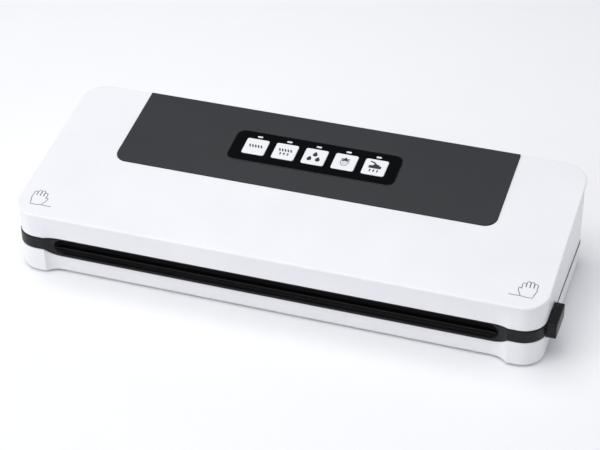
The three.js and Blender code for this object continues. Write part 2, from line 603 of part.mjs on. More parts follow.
function upperHousing() {
  const rearChamfer = prism([[68.4, 20.8], [72, 20.8], [72, 24.4]], -300, 300);
  // Along the bay the skirt leans in towards its lower edge.
  const bayWedge = prism(
    [[FRONT - 2, 28], [FRONT + LID_BAY + 0.4, 28], [FRONT, 46], [FRONT - 2, 46]],
    BAY_EDGE - BAY_OUTER, BAY_OUTER - BAY_EDGE,
  );
  const outer = cut(
    solidOf(slab(bodyPlan(0, 0), LID_SIDE_Z, LID_TALL)),
    aboveSlope(0),
    solidOf(block(-FAR, FAR, -FAR, STEP_Y, 0, LID_FRONT_Z)),
    solidOf(bayWedge),
    solidOf(rearChamfer),
  );
  const hollow = solidOf(slab(bodyPlan(WALL, LID_BAY), 0, LID_TALL)).subtract(aboveSlope(-ROOF));
  let lid = outer.subtract(hollow);
  for (const [, x, y] of LID_SCREWS) {
    lid = lid.add(solidOf(rodZ(x, y, LID_PLATE.z1 + GAP, LID_TALL, LID_BOSS_R, 12)).subtract(aboveSlope(-1)));
    lid = lid.subtract(solidOf(rodZ(x, y, 30, LID_PLATE.z1 + 10, SCREW_R + GAP, 12)));
  }
  for (const u of [-BOARD_POST.x, BOARD_POST.x]) {
    for (const v of BOARD_POST.v) {
      lid = lid.add(solidOf(onSlope(rodZ(u, v, BOARD_W + GAP, 1 - ROOF, BOARD_POST.r, 10))));
    }
  }
  for (const [, side] of SIDES) {
    const x = side * HINGE_X;
    const half = BARREL_W / 2 + 0.4;
    lid = join(lid, ...lidEars(side));
    lid = lid.subtract(solidOf(block(x - half, x + half, 60, 80, 10, HINGE_Z + BARREL_R + 0.5)));
    lid = lid.subtract(solidOf(rodX(x - 40, x + 40, HINGE_Y, HINGE_Z, PIN_R + 0.2, 12)));
  }
  const recess = roundedRect(-PANEL_HALF_W - GAP, PANEL_HALF_W + GAP, PANEL_FRONT - GAP, 200, PANEL_R);
  const opening = roundedRect(-55, 55, STRIP_V0 + 1.5, STRIP_V1 - 1.5, 3);
  return geometryOf(cut(
    lid,
    solidOf(onSlope(slab(recess, -RECESS, 20))),
    solidOf(onSlope(slab(opening, -20, 20))),
  ));
}
add('upper_housing', upperHousing(), WHITE_ABS);

// Plate that closes the front part of the lid and carries the seals.
function lidPlate() {
  const plan = solidOf(slab(bodyPlan(WALL + GAP, LID_BAY + 0.4), LID_PLATE.z0, LID_PLATE.z1));
  let plate = plan.intersect(solidOf(block(-FAR, FAR, -FAR, LID_PLATE.rear, 0, ABOVE)));
  for (const [, x, y] of LID_SCREWS) {
    plate = plate.subtract(solidOf(rodZ(x, y, 30, 40, SCREW_R + GAP, 12)));
  }
  return geometryOf(plate);
}
add('lid_inner_plate', lidPlate(), BLACK_ABS);
for (const [name, x, y] of LID_SCREWS) {
  add(name, screw(11), STEEL).position.set(x, y, LID_PLATE.z0 - GAP - SCREW_HEAD.h);
}

add('upper_gasket', slab(sealPlan, UPPER_GASKET_Z, LID_PLATE.z0 - GAP), FOAM);
add('press_strip', strip(HALF_SEAL, { ...PRESS, z1: LID_PLATE.z0 - GAP }), SILICONE);

function latchHook() {
  const [y0, y1] = HOOK_Y;
  const flange = solidOf(block(
    HOOK.flange, HOOK.flange + 15, y0 - HOOK.over, y1 + HOOK.over, UPPER_GASKET_Z, LID_PLATE.z0 - GAP,
  ));
  const shank = solidOf(block(HOOK.shank0, HOOK.shank1, y0, y1, HOOK.low, UPPER_GASKET_Z + 0.5));
  const nose = solidOf(block(
    CATCH.x0 + HOOK.play, HOOK.shank0 + 0.5, y0, y1, HOOK.low, STEM.z0 - HOOK.play,
  ));
  return geometryOf(join(flange, shank, nose));
}
for (const [word, shift] of LATCHES) {
  add(`latch_hook_${word}`, latchHook(), STEEL).position.x = -shift;
}

// ---- Lid: inlay, control strip, keys and lights, in the slope's own frame ---------------------
const RECESS_FLOOR = -RECESS + GAP;

function panelInlay() {
  const rear = BODY_D / Math.cos(SLOPE) - 0.8;
  const outline = roundedRect(-PANEL_HALF_W, PANEL_HALF_W, PANEL_FRONT, rear + PANEL_R, PANEL_R - GAP);
  const plate = solidOf(slab(outline, RECESS_FLOOR, PANEL_PROUD));
  const pocket = roundedRect(
    -STRIP_W / 2 - GAP, STRIP_W / 2 + GAP, STRIP_V0 - GAP, STRIP_V1 + GAP, STRIP_R + GAP,
  );
  return geometryOf(cut(
    plate,
    solidOf(slab(pocket, -5, 5)),
    solidOf(block(-FAR, FAR, rear, FAR, -10, 10)),
  ));
}
add('panel_inlay', panelInlay(), ANTHRACITE, slopeGroup);

const keyPlan = (margin, radius) => roundedRect(
  -KEY_W / 2 - margin, KEY_W / 2 + margin, -KEY_D / 2 - margin, KEY_D / 2 + margin, radius,
);
const lightPlan = (margin) => roundedRect(
  -2 - margin, 2 + margin, -0.8 - margin, 0.8 + margin, 0.7 + margin,
);

function controlStrip() {
  const outline = roundedRect(-STRIP_W / 2, STRIP_W / 2, STRIP_V0, STRIP_V1, STRIP_R);
  let strip = solidOf(slab(outline, RECESS_FLOOR, STRIP_PROUD));
  for (let i = 0; i < KEY_COUNT; i += 1) {
    const keyHole = slab(keyPlan(GAP, 1.6), -5, 5, 4).translate(keyX(i), KEY_V, 0);
    const lightHole = slab(lightPlan(GAP), -5, 5, 4).translate(keyX(i), LIGHT_V, 0);
    strip = cut(strip, solidOf(keyHole), solidOf(lightHole));
  }
  return geometryOf(strip);
}
add('control_strip', controlStrip(), GLOSS_BLACK, slopeGroup);
add('control_board', block(-62, 62, STRIP_V0, STRIP_V1, BOARD_W - 1.6, BOARD_W), BOARD, slopeGroup);

function keyCap() {
  const cap = solidOf(slab(keyPlan(0, 1.3), -2.2, KEY_PROUD, 4));
  const flange = solidOf(slab(keyPlan(1.2, 2), -2.6, RECESS_FLOOR - GAP, 4));
  return geometryOf(join(cap, flange, solidOf(rodZ(0, 0, -3.5, -2, 2, 10))));
}

function tactSwitch() {
  const body = solidOf(block(-3, 3, -3, 3, BOARD_W + GAP, -5));
  return geometryOf(body.add(solidOf(rodZ(0, 0, -5.5, -4.3, 1.7, 10))));
}

for (let i = 0; i < KEY_COUNT; i += 1) {
  add(`key_${i + 1}`, keyCap(), KEY_WHITE, slopeGroup).position.set(keyX(i), KEY_V, 0);
  add(`tact_switch_${i + 1}`, tactSwitch(), BLACK_ABS, slopeGroup).position.set(keyX(i), KEY_V, 0);
  const light = slab(lightPlan(0), BOARD_W + GAP, 1.1, 4);
  add(`light_guide_${i + 1}`, light, CLEAR_LIGHT, slopeGroup).position.set(keyX(i), LIGHT_V, 0);
}

export default sealer;
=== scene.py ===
"""The looks of a countertop vacuum sealer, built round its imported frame.

All sizes are millimetres along the frame's axes, X to the right, Y to the rear and Z up, and
count from the middle of the body. A piece is worked out as numpy arrays, put together, and
only then turned to metres, moved to where the frame has the body, and made a mesh.
"""

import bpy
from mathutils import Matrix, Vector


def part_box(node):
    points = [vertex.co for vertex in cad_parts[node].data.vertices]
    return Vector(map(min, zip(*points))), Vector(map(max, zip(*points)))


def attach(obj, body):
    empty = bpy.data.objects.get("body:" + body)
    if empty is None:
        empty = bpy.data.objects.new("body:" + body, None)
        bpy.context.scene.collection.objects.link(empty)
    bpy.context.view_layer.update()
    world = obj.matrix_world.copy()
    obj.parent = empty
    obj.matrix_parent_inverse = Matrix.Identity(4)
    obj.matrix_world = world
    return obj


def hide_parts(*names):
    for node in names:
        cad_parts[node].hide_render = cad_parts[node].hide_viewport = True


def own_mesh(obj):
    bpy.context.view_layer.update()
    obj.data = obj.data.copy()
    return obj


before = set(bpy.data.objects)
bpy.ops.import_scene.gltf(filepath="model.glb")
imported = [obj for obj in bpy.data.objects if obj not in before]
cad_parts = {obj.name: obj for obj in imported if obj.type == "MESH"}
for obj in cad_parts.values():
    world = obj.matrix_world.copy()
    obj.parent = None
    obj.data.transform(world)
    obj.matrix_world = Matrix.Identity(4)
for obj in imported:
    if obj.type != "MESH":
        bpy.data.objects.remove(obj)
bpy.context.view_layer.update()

import logging
import math
from collections.abc import Callable, Iterable, Sequence
from dataclasses import dataclass, field
from enum import Enum

import bpy
import numpy as np
from mathutils import Matrix, Vector

LOG = logging.getLogger("vacuum_sealer")
MM = 0.001
Ring = np.ndarray


# ---- Sizes -----------------------------------------------------------------------------


def box_mm(node: str) -> tuple[np.ndarray, np.ndarray]:
    """Lowest and highest corner of a CAD node in millimetres."""
    low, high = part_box(node)
    return np.array(low) / MM, np.array(high) / MM


LID_LOW, LID_HIGH = box_mm("upper_housing")
BASE_LOW = box_mm("lower_housing")[0]
DECK_HIGH = box_mm("chamber_deck")[1]


@dataclass(frozen=True)
class Body:
    """Driving sizes shared by lid, deck and base, in millimetres."""

    half_width: float = float(LID_HIGH[0] - LID_LOW[0]) / 2
    half_depth: float = float(LID_HIGH[1])
    corner: float = 17.0
    slope: float = math.radians(10.0)
    top_front: float = 48.5
    lid_side: float = 21.4
    lid_front: float = 29.8
    step_y: float = -29.5
    base_bottom: float = float(BASE_LOW[2])
    base_top: float = 20.4
    bay_top: float = 14.2
    bay_inner: float = 151.0
    bay_outer: float = 164.3
    base_bay: float = 5.2
    lid_bay: float = 3.2
    deck_top: float = float(DECK_HIGH[2])
    wall: float = 2.4

    def top(self, points: np.ndarray) -> np.ndarray:
        """Height of the sloping lid top over each plan point."""
        return self.top_front + (points[:, 1] + self.half_depth) * math.tan(self.slope)


BODY = Body()
BODY_SHIFT = float(LID_HIGH[0] + LID_LOW[0]) / 2  # the body's middle, seen from the frame's origin
SLOPE_FRAME = Matrix.Translation((0, -BODY.half_depth, BODY.top_front)) @ Matrix.Rotation(
    BODY.slope, 4, "X"
)


class Side(Enum):
    """The two ends of the machine."""

    LEFT = -1
    RIGHT = 1

    @property
    def word(self) -> str:
        """The side's name as the nodes spell it."""
        return self.name.lower()


class Operation(Enum):
    """How one solid is put together with others."""

    CUT = "DIFFERENCE"
    JOIN = "UNION"


# ---- Shapes as arrays --------------------------------------------------------------------


def smooth(share: np.ndarray) -> np.ndarray:
    """Smoothstep: 3s^2 - 2s^3 of the share clipped to 0..1."""
    s = np.clip(share, 0.0, 1.0)
    return s * s * (3 - 2 * s)


@dataclass
class Shape:
    """A closed surface: points as an (n, 3) array and faces as tuples of point numbers."""

    points: np.ndarray
    faces: list[tuple[int, ...]]

    def moved(self, x: float = 0, y: float = 0, z: float = 0) -> "Shape":
        """A copy shifted by x, y and z."""
        return Shape(self.points + np.array([x, y, z]), self.faces)

    def placed(self, matrix: Matrix) -> "Shape":
        """A copy carried by a rigid 4x4 matrix."""
        m = np.array(matrix)
        return Shape(self.points @ m[:3, :3].T + m[:3, 3], self.faces)

    def mirrored(self, side: Side) -> "Shape":
        """A copy for that side; the left one is reflected in X and its faces are turned back.

        Args:
            side: the end of the machine that the copy is for.

        Returns:
            The copy, or the shape itself for the right side.
        """
        if side is Side.RIGHT:
            return self
        points = self.points * np.array([-1.0, 1.0, 1.0])
        return Shape(points, [face[::-1] for face in self.faces])


def together(shapes: Iterable[Shape]) -> Shape:
    """Several shapes as one, each keeping its own closed surface.

    Args:
        shapes: the shapes, in any order.

    Returns:
        One shape that holds them all.
    """
    points, faces, count = [], [], 0
    for shape in shapes:
        points.append(shape.points)
        faces += [tuple(i + count for i in face) for face in shape.faces]
        count += len(shape.points)
    return Shape(np.vstack(points), faces)


def loft(rings: Sequence[Ring], closed: bool = False) -> Shape:
    """A skin over rings of equal length that run anticlockwise seen from the first cap.

    The quad between ring k and k+1 takes points i and i+1 of both. The first and last ring
    are closed by flat faces, or joined to each other when `closed` is set.

    Args:
        rings: arrays of (n, 3) points, from the face that looks up to the one that looks down.
        closed: True for a ring-shaped piece such as a gasket.

    Returns:
        The closed shape.
    """
    stack = np.array(rings, float)
    count, size = stack.shape[:2]
    grid = np.arange(count * size).reshape(count, size)
    lower = np.roll(grid, -1, axis=0) if closed else grid[1:]
    upper = grid if closed else grid[:-1]
    quads = np.stack([upper, lower, np.roll(lower, -1, 1), np.roll(upper, -1, 1)], -1)
    faces = [tuple(q) for q in quads.reshape(-1, 4).tolist()]
    if not closed:
        faces += [tuple(grid[0].tolist()), tuple(grid[-1][::-1].tolist())]
    return Shape(stack.reshape(-1, 3), faces)


@dataclass
class Outline:
    """A closed plan line, walked anticlockwise, made of straight and round stretches."""

    points: list[np.ndarray] = field(default_factory=list)

    def line(self, start: Sequence[float], end: Sequence[float], steps: int = 1) -> "Outline":
        """A straight stretch from start, stopping short of its end.

        Args:
            start: the first point.
            end: the point that the next stretch begins with.
            steps: how many points are added.

        Returns:
            The same outline, so that calls can be chained.
        """
        t = np.linspace(0, 1, steps, endpoint=False)[:, None]
        self.points.append(np.array(start) * (1 - t) + np.array(end) * t)
        return self

    def arc(self, x: float, y: float, radius: float, start: float, turn: float = 90,
            steps: int = 10) -> "Outline":
        """A round stretch about (x, y) from `start` degrees, stopping short of its end.

        Args:
            x: centre across.
            y: centre up the plan.
            radius: radius of the stretch.
            start: angle it begins at, in degrees.
            turn: angle it covers, in degrees.
            steps: how many points are added.

        Returns:
            The same outline, so that calls can be chained.
        """
        a = np.radians(start + turn * np.linspace(0, 1, steps, endpoint=False))
        self.points.append(np.stack([x + radius * np.cos(a), y + radius * np.sin(a)], 1))
        return self

    def plan(self) -> np.ndarray:
        """The whole line as one array of (n, 2) points."""
        return np.vstack(self.points)


def normals(plan: np.ndarray) -> np.ndarray:
    """Outward normals: the mean direction of the two edges at a point, turned by -90 degrees.

    Args:
        plan: (n, 2) points of a closed outline.

    Returns:
        (n, 2) unit vectors.
    """
    ahead = np.roll(plan, -1, 0) - plan
    ahead /= np.linalg.norm(ahead, axis=1, keepdims=True)
    along = ahead + np.roll(ahead, 1, 0)
    along /= np.linalg.norm(along, axis=1, keepdims=True)
    return np.stack([along[:, 1], -along[:, 0]], 1)


def rounded(x0: float, x1: float, y0: float, y1: float, radius: float, steps: int = 8,
            edge: int = 1) -> np.ndarray:
    """A rectangle with round corners as (n, 2) points.

    Args:
        x0: left side.
        x1: right side.
        y0: front side.
        y1: rear side.
        radius: radius of the corners.
        steps: points round each corner.
        edge: points along each side.

    Returns:
        The outline, anticlockwise.
    """
    line = Outline()
    line.line((x0 + radius, y0), (x1 - radius, y0), edge)
    line.arc(x1 - radius, y0 + radius, radius, -90, steps=steps)
    line.line((x1, y0 + radius), (x1, y1 - radius), edge)
    line.arc(x1 - radius, y1 - radius, radius, 0, steps=steps)
    line.line((x1 - radius, y1), (x0 + radius, y1), edge)
    line.arc(x0 + radius, y1 - radius, radius, 90, steps=steps)
    line.line((x0, y1 - radius), (x0, y0 + radius), edge)
    line.arc(x0 + radius, y0 + radius, radius, 180, steps=steps)
    return line.plan()


def ring_at(plan: np.ndarray, inset: float | np.ndarray, height: float | np.ndarray) -> Ring:
    """The plan drawn in along its normals by `inset`, at `height`."""
    flat = plan - normals(plan) * np.broadcast_to(inset, len(plan))[:, None]
    return np.column_stack([flat, np.broadcast_to(height, len(plan))])


def prism(plan: np.ndarray, low: float, high: float) -> Shape:
    """A plan line raised straight from `low` to `high`."""
    return loft([ring_at(plan, 0, high), ring_at(plan, 0, low)])


def fillet_steps(radius: float, steps: int = 5) -> list[tuple[float, float]]:
    """A quarter round as (inset, drop) pairs: r(1 - sin a), r(1 - cos a) for a from 0 to 90."""
    a = np.linspace(0, math.pi / 2, steps + 1)
    return [(float(radius * (1 - math.sin(t))), float(radius * (1 - math.cos(t)))) for t in a]


def cushion(plan: np.ndarray, low: float, high: float, top_round: float,
            low_round: float = 0.0, crown: float = 0.0) -> Shape:
    """A block over a plan with rounded upper and lower edges and a slightly crowned top.

    Args:
        plan: the outline as (n, 2) points.
        low: height of the underside.
        high: height of the rim of the top.
        top_round: radius of the upper edge.
        low_round: radius of the lower edge, or 0 for a sharp one.
        crown: how far the middle of the top stands over its rim.

    Returns:
        The closed shape.
    """
    rings = []
    if crown:
        centre = plan.mean(0)
        for share in (0.15, 0.5, 0.8):
            flat = centre + (plan - normals(plan) * top_round - centre) * share
            rings.append(np.column_stack([flat, np.full(len(plan), high + crown * (1 - share**2))]))
    else:
        rings.append(ring_at(plan, top_round + 0.15, high))
    rings += [ring_at(plan, inset, high - drop) for inset, drop in fillet_steps(top_round)]
    if low_round:
        lower = [(inset, low + drop) for inset, drop in fillet_steps(low_round, 3)]
        rings += [ring_at(plan, inset, z) for inset, z in reversed(lower)]
    else:
        rings.append(ring_at(plan, 0, low))
    return loft(rings)


def block(x0: float, x1: float, y0: float, y1: float, z0: float, z1: float) -> Shape:
    """A plain box, used only to cut or join."""
    return prism(np.array([[x0, y0], [x1, y0], [x1, y1], [x0, y1]], float), z0, z1)


def turned(profile: Sequence[tuple[float, float]], sides: int = 32) -> Shape:
    """A profile of (radius, height) pairs, from top to bottom, carried round the Z axis.

    Args:
        profile: (radius, height) pairs from top to bottom.
        sides: how many sides the circle has.

    Returns:
        The turned shape.
    """
    a = np.arange(sides) * 2 * math.pi / sides
    circle = np.stack([np.cos(a), np.sin(a)], 1)
    return loft([np.column_stack([circle * r, np.full(sides, z)]) for r, z in profile])


TO_X = Matrix.Rotation(math.pi / 2, 4, "Y")
TO_Y = Matrix.Rotation(-math.pi / 2, 4, "X")


def rod(length: float, radius: float, end: float = 0.2, sides: int = 32) -> Shape:
    """A bar of round section along Z from 0 to `length`, with its ends chamfered by `end`."""
    return turned([(radius - end, length), (radius, length - end), (radius, end), (radius - end, 0)],
                  sides)


def ribbon(path: np.ndarray, width: float, low: float, high: float) -> Shape:
    """A printed line: a flat bar of that width swept along the path.

    Args:
        path: (n, 2) points of the line.
        width: width of the line.
        low: height of its underside.
        high: height of its face.

    Returns:
        The bar.
    """
    ahead = np.gradient(path, axis=0)
    ahead /= np.linalg.norm(ahead, axis=1, keepdims=True)
    across = np.stack([ahead[:, 1], -ahead[:, 0]], 1) * width / 2
    corners = ((across, high), (-across, high), (-across, low), (across, low))
    rings = [np.column_stack([path + offset, np.full(len(path), z)]) for offset, z in corners]
    return loft(list(np.stack(rings, 1)))


# ---- Solids put together -----------------------------------------------------------------


def as_mesh(name: str, shape: Shape, scale: float = 1.0) -> bpy.types.Mesh:
    """The shape as a Blender mesh, scaled about the origin.

    Args:
        name: the mesh's name.
        shape: what it holds.
        scale: 0.001 turns millimetres to metres.

    Returns:
        The new mesh.
    """
    mesh = bpy.data.meshes.new(name)
    mesh.from_pydata((shape.points * scale).tolist(), [], shape.faces)
    mesh.validate()
    return mesh


def combine(shape: Shape, others: Sequence[Shape], operation: Operation) -> Shape:
    """The shape cut by, or joined with, all the others.

    Args:
        shape: the solid that is kept.
        others: closed solids; they may overlap each other.
        operation: whether to cut or to join.

    Returns:
        The closed result.
    """
    scene = bpy.context.scene
    target = bpy.data.objects.new("work_target", as_mesh("work_target", shape))
    tool = bpy.data.objects.new("work_tool", as_mesh("work_tool", together(others)))
    scene.collection.objects.link(target)
    scene.collection.objects.link(tool)
    modifier = target.modifiers.new("combine", "BOOLEAN")
    modifier.operation = operation.value
    modifier.solver = "EXACT"
    modifier.use_self = True
    modifier.object = tool
    evaluated = target.evaluated_get(bpy.context.evaluated_depsgraph_get())
    mesh = evaluated.to_mesh()
    points = np.empty(len(mesh.vertices) * 3)
    mesh.vertices.foreach_get("co", points)
    faces = [tuple(face.vertices) for face in mesh.polygons]
    result = Shape(points.reshape(-1, 3), faces)
    evaluated.to_mesh_clear()
    for helper in (target, tool):
        data = helper.data
        bpy.data.objects.remove(helper)
        bpy.data.meshes.remove(data)
    return result


def carve(shape: Shape, *cuts: Shape) -> Shape:
    """The shape with all the cuts taken out."""
    return combine(shape, cuts, Operation.CUT)


def weld(shape: Shape, *additions: Shape) -> Shape:
    """The shape with all the additions joined on."""
    return combine(shape, additions, Operation.JOIN)


# ---- Finishes ------------------------------------------------------------------------------


def linear(code: str) -> tuple[float, float, float, float]:
    """An sRGB hex colour as linear red, green and blue with full alpha.

    Args:
        code: six hex digits after a hash.

    Returns:
        Linear red, green, blue and alpha.
    """
    values = np.array([int(code[i : i + 2], 16) for i in (1, 3, 5)]) / 255
    bright = np.where(values <= 0.04045, values / 12.92, ((values + 0.055) / 1.055) ** 2.4)
    return (*bright.tolist(), 1.0)


def add_node(tree: bpy.types.NodeTree, kind: str, inputs: dict | None = None,
             **settings: object) -> bpy.types.Node:
    """A shader node with its settings made and its inputs set or linked.

    Args:
        tree: the material's node tree.
        kind: the node's type name.
        inputs: socket name or number to a value, or to the output socket that feeds it.
        settings: attributes of the node itself.

    Returns:
        The new node.
    """
    node = tree.nodes.new(kind)
    for name, value in settings.items():
        setattr(node, name, value)
    for name, value in (inputs or {}).items():
        if isinstance(value, bpy.types.NodeSocket):
            tree.links.new(value, node.inputs[name])
        else:
            node.inputs[name].default_value = value
    return node


class Relief(Enum):
    """The fine surface that a mould, a tool or a loom leaves."""

    GRAIN = "noise"
    SPARK = "spark"
    CELLS = "cells"
    BRUSHED = "brushed"
    WOVEN = "woven"


@dataclass(frozen=True)
class Finish:
    """A material: two tints that drift into each other, a gloss range and a fine relief."""

    title: str
    dark: str
    light: str
    rough: tuple[float, float]
    relief: Relief = Relief.GRAIN
    grain: float = 0.3
    depth: float = 0.004
    drift: float = 40.0
    metallic: float = 0.0
    ior: float = 1.5
    coat: float = 0.0
    sheen: float = 0.0
    scatter: float = 0.0
    specular: float = 0.5

    def fine(self, tree: bpy.types.NodeTree, place: bpy.types.NodeSocket) -> bpy.types.NodeSocket:
        """The relief's height, 0 to 1, over object coordinates in metres.

        Args:
            tree: the node tree that the nodes are added to.
            place: object coordinates.

        Returns:
            The socket that gives the height.
        """
        pitch = self.grain * MM
        if self.relief is Relief.WOVEN:
            bands = [
                add_node(tree, "ShaderNodeTexWave", {"Vector": place, "Scale": 0.05 / pitch,
                                                     "Distortion": 0.4},
                         bands_direction=axis).outputs["Fac"]
                for axis in ("X", "Y")
            ]
            return add_node(tree, "ShaderNodeMath", {0: bands[0], 1: bands[1]},
                            operation="MAXIMUM").outputs[0]
        if self.relief in (Relief.SPARK, Relief.CELLS):
            cells = add_node(tree, "ShaderNodeTexVoronoi", {"Vector": place, "Scale": 1 / pitch})
            return cells.outputs["Distance"]
        if self.relief is Relief.BRUSHED:
            place = add_node(tree, "ShaderNodeMapping",
                             {"Vector": place, "Scale": (0.04, 1, 1)}).outputs["Vector"]
        noise = add_node(tree, "ShaderNodeTexNoise",
                         {"Vector": place, "Scale": 1 / pitch, "Detail": 3})
        return noise.outputs["Fac"]

    def mix(self, tree: bpy.types.NodeTree, share: bpy.types.NodeSocket) -> bpy.types.NodeSocket:
        """The two tints mixed by the share.

        Args:
            tree: the node tree that the node is added to.
            share: how much of the lighter tint shows.

        Returns:
            The socket that gives the colour.
        """
        node = add_node(tree, "ShaderNodeMixRGB",
                        {"Fac": share, "Color1": linear(self.dark), "Color2": linear(self.light)})
        return node.outputs["Color"]

    def material(self) -> bpy.types.Material:
        """The procedural material, made once and shared by every piece that has the finish.

        Returns:
            The material.
        """
        made = bpy.data.materials.get(self.title)
        if made:
            return made
        made = bpy.data.materials.new(self.title)
        made.use_nodes = True
        tree = made.node_tree
        tree.nodes.clear()
        place = add_node(tree, "ShaderNodeTexCoord").outputs["Object"]
        broad = add_node(tree, "ShaderNodeTexNoise",
                         {"Vector": place, "Scale": 1 / (self.drift * MM), "Detail": 2})
        fine = self.fine(tree, place)
        share = add_node(tree, "ShaderNodeMath", {0: fine, 1: 0.35, 2: broad.outputs["Fac"]},
                         operation="MULTIPLY_ADD", use_clamp=True).outputs[0]
        tint = self.mix(tree, share)
        gloss = add_node(tree, "ShaderNodeMapRange",
                         {"Value": share, "From Min": 0.3, "From Max": 1.0,
                          "To Min": self.rough[0], "To Max": self.rough[1]}).outputs["Result"]
        bump = add_node(tree, "ShaderNodeBump", {"Height": fine, "Strength": 1.0,
                                                 "Distance": self.depth * MM})
        shader = add_node(tree, "ShaderNodeBsdfPrincipled", {
            "Base Color": tint, "Roughness": gloss, "Normal": bump.outputs["Normal"],
            "Metallic": self.metallic, "IOR": self.ior, "Coat Weight": self.coat,
            "Coat Roughness": 0.06, "Sheen Weight": self.sheen,
            "Subsurface Weight": self.scatter, "Subsurface Scale": 0.001,
            "Specular IOR Level": self.specular,
        })
        add_node(tree, "ShaderNodeOutputMaterial", {"Surface": shader.outputs["BSDF"]})
        return made


# Injection-moulded ABS, fine satin: a bright, soft highlight and a faint cold white.
WHITE_ABS = Finish("moulded_white_abs", "#eeeef1", "#f6f6f8", (0.30, 0.38), grain=0.35,
                   depth=0.0012, ior=1.53)
# Black ABS of the deck: nearly black with a broad, dull sheen.
BLACK_ABS = Finish("moulded_black_abs", "#070708", "#0e0e10", (0.32, 0.42), grain=0.3,
                   depth=0.002, ior=1.53, specular=0.25)
# Spark-eroded mould texture on the inlay: matte anthracite that breaks up reflections.
ANTHRACITE = Finish("spark_eroded_anthracite_abs", "#242528", "#2b2c2f", (0.48, 0.60),
                    Relief.SPARK, grain=0.22, depth=0.012, ior=1.53, specular=0.4)
# Polished black acrylic of the control strip: a mirror-like, deep black.
GLOSS_BLACK = Finish("polished_black_acrylic", "#060708", "#0a0b0d", (0.05, 0.09), grain=1.5,
                     depth=0.0004, ior=1.49)
# Key caps: satin white-grey polycarbonate, a touch warmer than the shell.
KEY_WHITE = Finish("satin_polycarbonate_key", "#eeeef0", "#f5f5f7", (0.34, 0.42), grain=0.25,
                   depth=0.0015, ior=1.58)
# Milky polycarbonate light windows that glow a little through their depth.
LIGHT_LENS = Finish("milky_polycarbonate_lens", "#e6e8ea", "#f4f5f6", (0.16, 0.24), grain=0.5,
                    depth=0.0008, ior=1.58, scatter=0.4)
# Closed-cell foam: matte, pitted dark grey.
FOAM = Finish("closed_cell_foam", "#1d1e20", "#303134", (0.82, 0.95), Relief.CELLS, grain=0.45,
              depth=0.05, sheen=0.2)
# Silicone rubber: dark grey and dull with a slight skin sheen.
SILICONE = Finish("silicone_rubber", "#232427", "#2e3033", (0.52, 0.66), grain=0.4, depth=0.004,
                  ior=1.41)
# Rubber: black, matte and a little dusty.
RUBBER = Finish("moulded_rubber", "#17171a", "#232325", (0.66, 0.8), grain=0.5, depth=0.008,
                ior=1.52)
# Zinc-plated steel, drawn: bright bluish grey with fine streaks.
STEEL = Finish("zinc_plated_steel", "#a5a9ae", "#c3c6ca", (0.22, 0.36), Relief.BRUSHED, grain=0.12,
               depth=0.003, metallic=1.0)
# Nichrome ribbon: dull warm grey metal.
NICHROME = Finish("nichrome_ribbon", "#77736d", "#928e88", (0.3, 0.45), Relief.BRUSHED, grain=0.1,
                  depth=0.002, metallic=1.0)
# Glass cloth coated with PTFE: a tan, waxy weave.
PTFE_CLOTH = Finish("ptfe_coated_glass_cloth", "#8d6d45", "#ab8a5e", (0.38, 0.5), Relief.WOVEN,
                    grain=0.5, depth=0.02, ior=1.38)
# Enamelled copper wire: deep orange metal under a clear coat, wound in fine turns.
COPPER = Finish("enamelled_copper_winding", "#8a4a20", "#b06a35", (0.25, 0.4), Relief.BRUSHED,
                grain=0.6, depth=0.05, metallic=1.0, coat=0.6)
# Solder-masked circuit laminate: glossy green over a faint weave.
LAMINATE = Finish("solder_masked_laminate", "#174a2e", "#236041", (0.25, 0.35), Relief.WOVEN,
                  grain=0.4, depth=0.003, ior=1.55)
# Screen-printed ink: flat, matte black.
INK = Finish("screen_printed_ink", "#1f2023", "#2a2b2e", (0.5, 0.6), grain=0.1, depth=0.0006)
# Light grey pad-printed ink of the pictograms.
GREY_INK = Finish("grey_pad_printed_ink", "#4e5054", "#5c5e62", (0.5, 0.6), grain=0.1,
                  depth=0.0006)
# Grey half-tone ink of the berry's body.
TONE_INK = Finish("half_tone_ink", "#6f7074", "#86878b", (0.5, 0.6), grain=0.1, depth=0.0006)


# ---- Pieces ---------------------------------------------------------------------------------



def make_piece(name: str, shape: Shape, finish: Finish, body: str,
               stands_for: Sequence[str] = (), sharp: float = 35.0) -> bpy.types.Object:
    """Turns a shape into a finished piece of the assembly.

    Args:
        name: the piece's own name.
        shape: its closed surface in millimetres, about the middle of the body.
        finish: what it is made of.
        body: the CAD body that it moves with.
        stands_for: the CAD nodes that it takes the place of.
        sharp: edges that turn more than this many degrees stay crisp.

    Returns:
        The new object.
    """
    mesh = as_mesh(name, shape.moved(x=BODY_SHIFT), MM)
    mesh.shade_smooth()
    mesh.set_sharp_from_angle(angle=math.radians(sharp))
    mesh.materials.append(finish.material())
    piece = bpy.data.objects.new(name, mesh)
    bpy.context.scene.collection.objects.link(piece)
    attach(piece, body)
    if stands_for:
        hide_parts(*stands_for)
    LOG.info("%s: %d faces on %s", name, len(mesh.polygons), body)
    return piece


def dress_node(node: str, finish: Finish, bevel: float = 0.0) -> None:
    """Gives a CAD node, kept as it is, its finish and, if asked, softened edges.

    Args:
        node: the CAD node's name.
        finish: what it is made of.
        bevel: width of the softened edges, 0 for none.
    """
    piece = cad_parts[node]
    piece.data.materials.clear()
    piece.data.materials.append(finish.material())
    if bevel:
        modifier = piece.modifiers.new("soft_edges", "BEVEL")
        modifier.width = bevel * MM
        modifier.segments = 2
        modifier.limit_method = "ANGLE"
        modifier.angle_limit = math.radians(40)
    LOG.info("%s: dressed in %s", node, finish.title)


# ---- The body's plan --------------------------------------------------------------------------


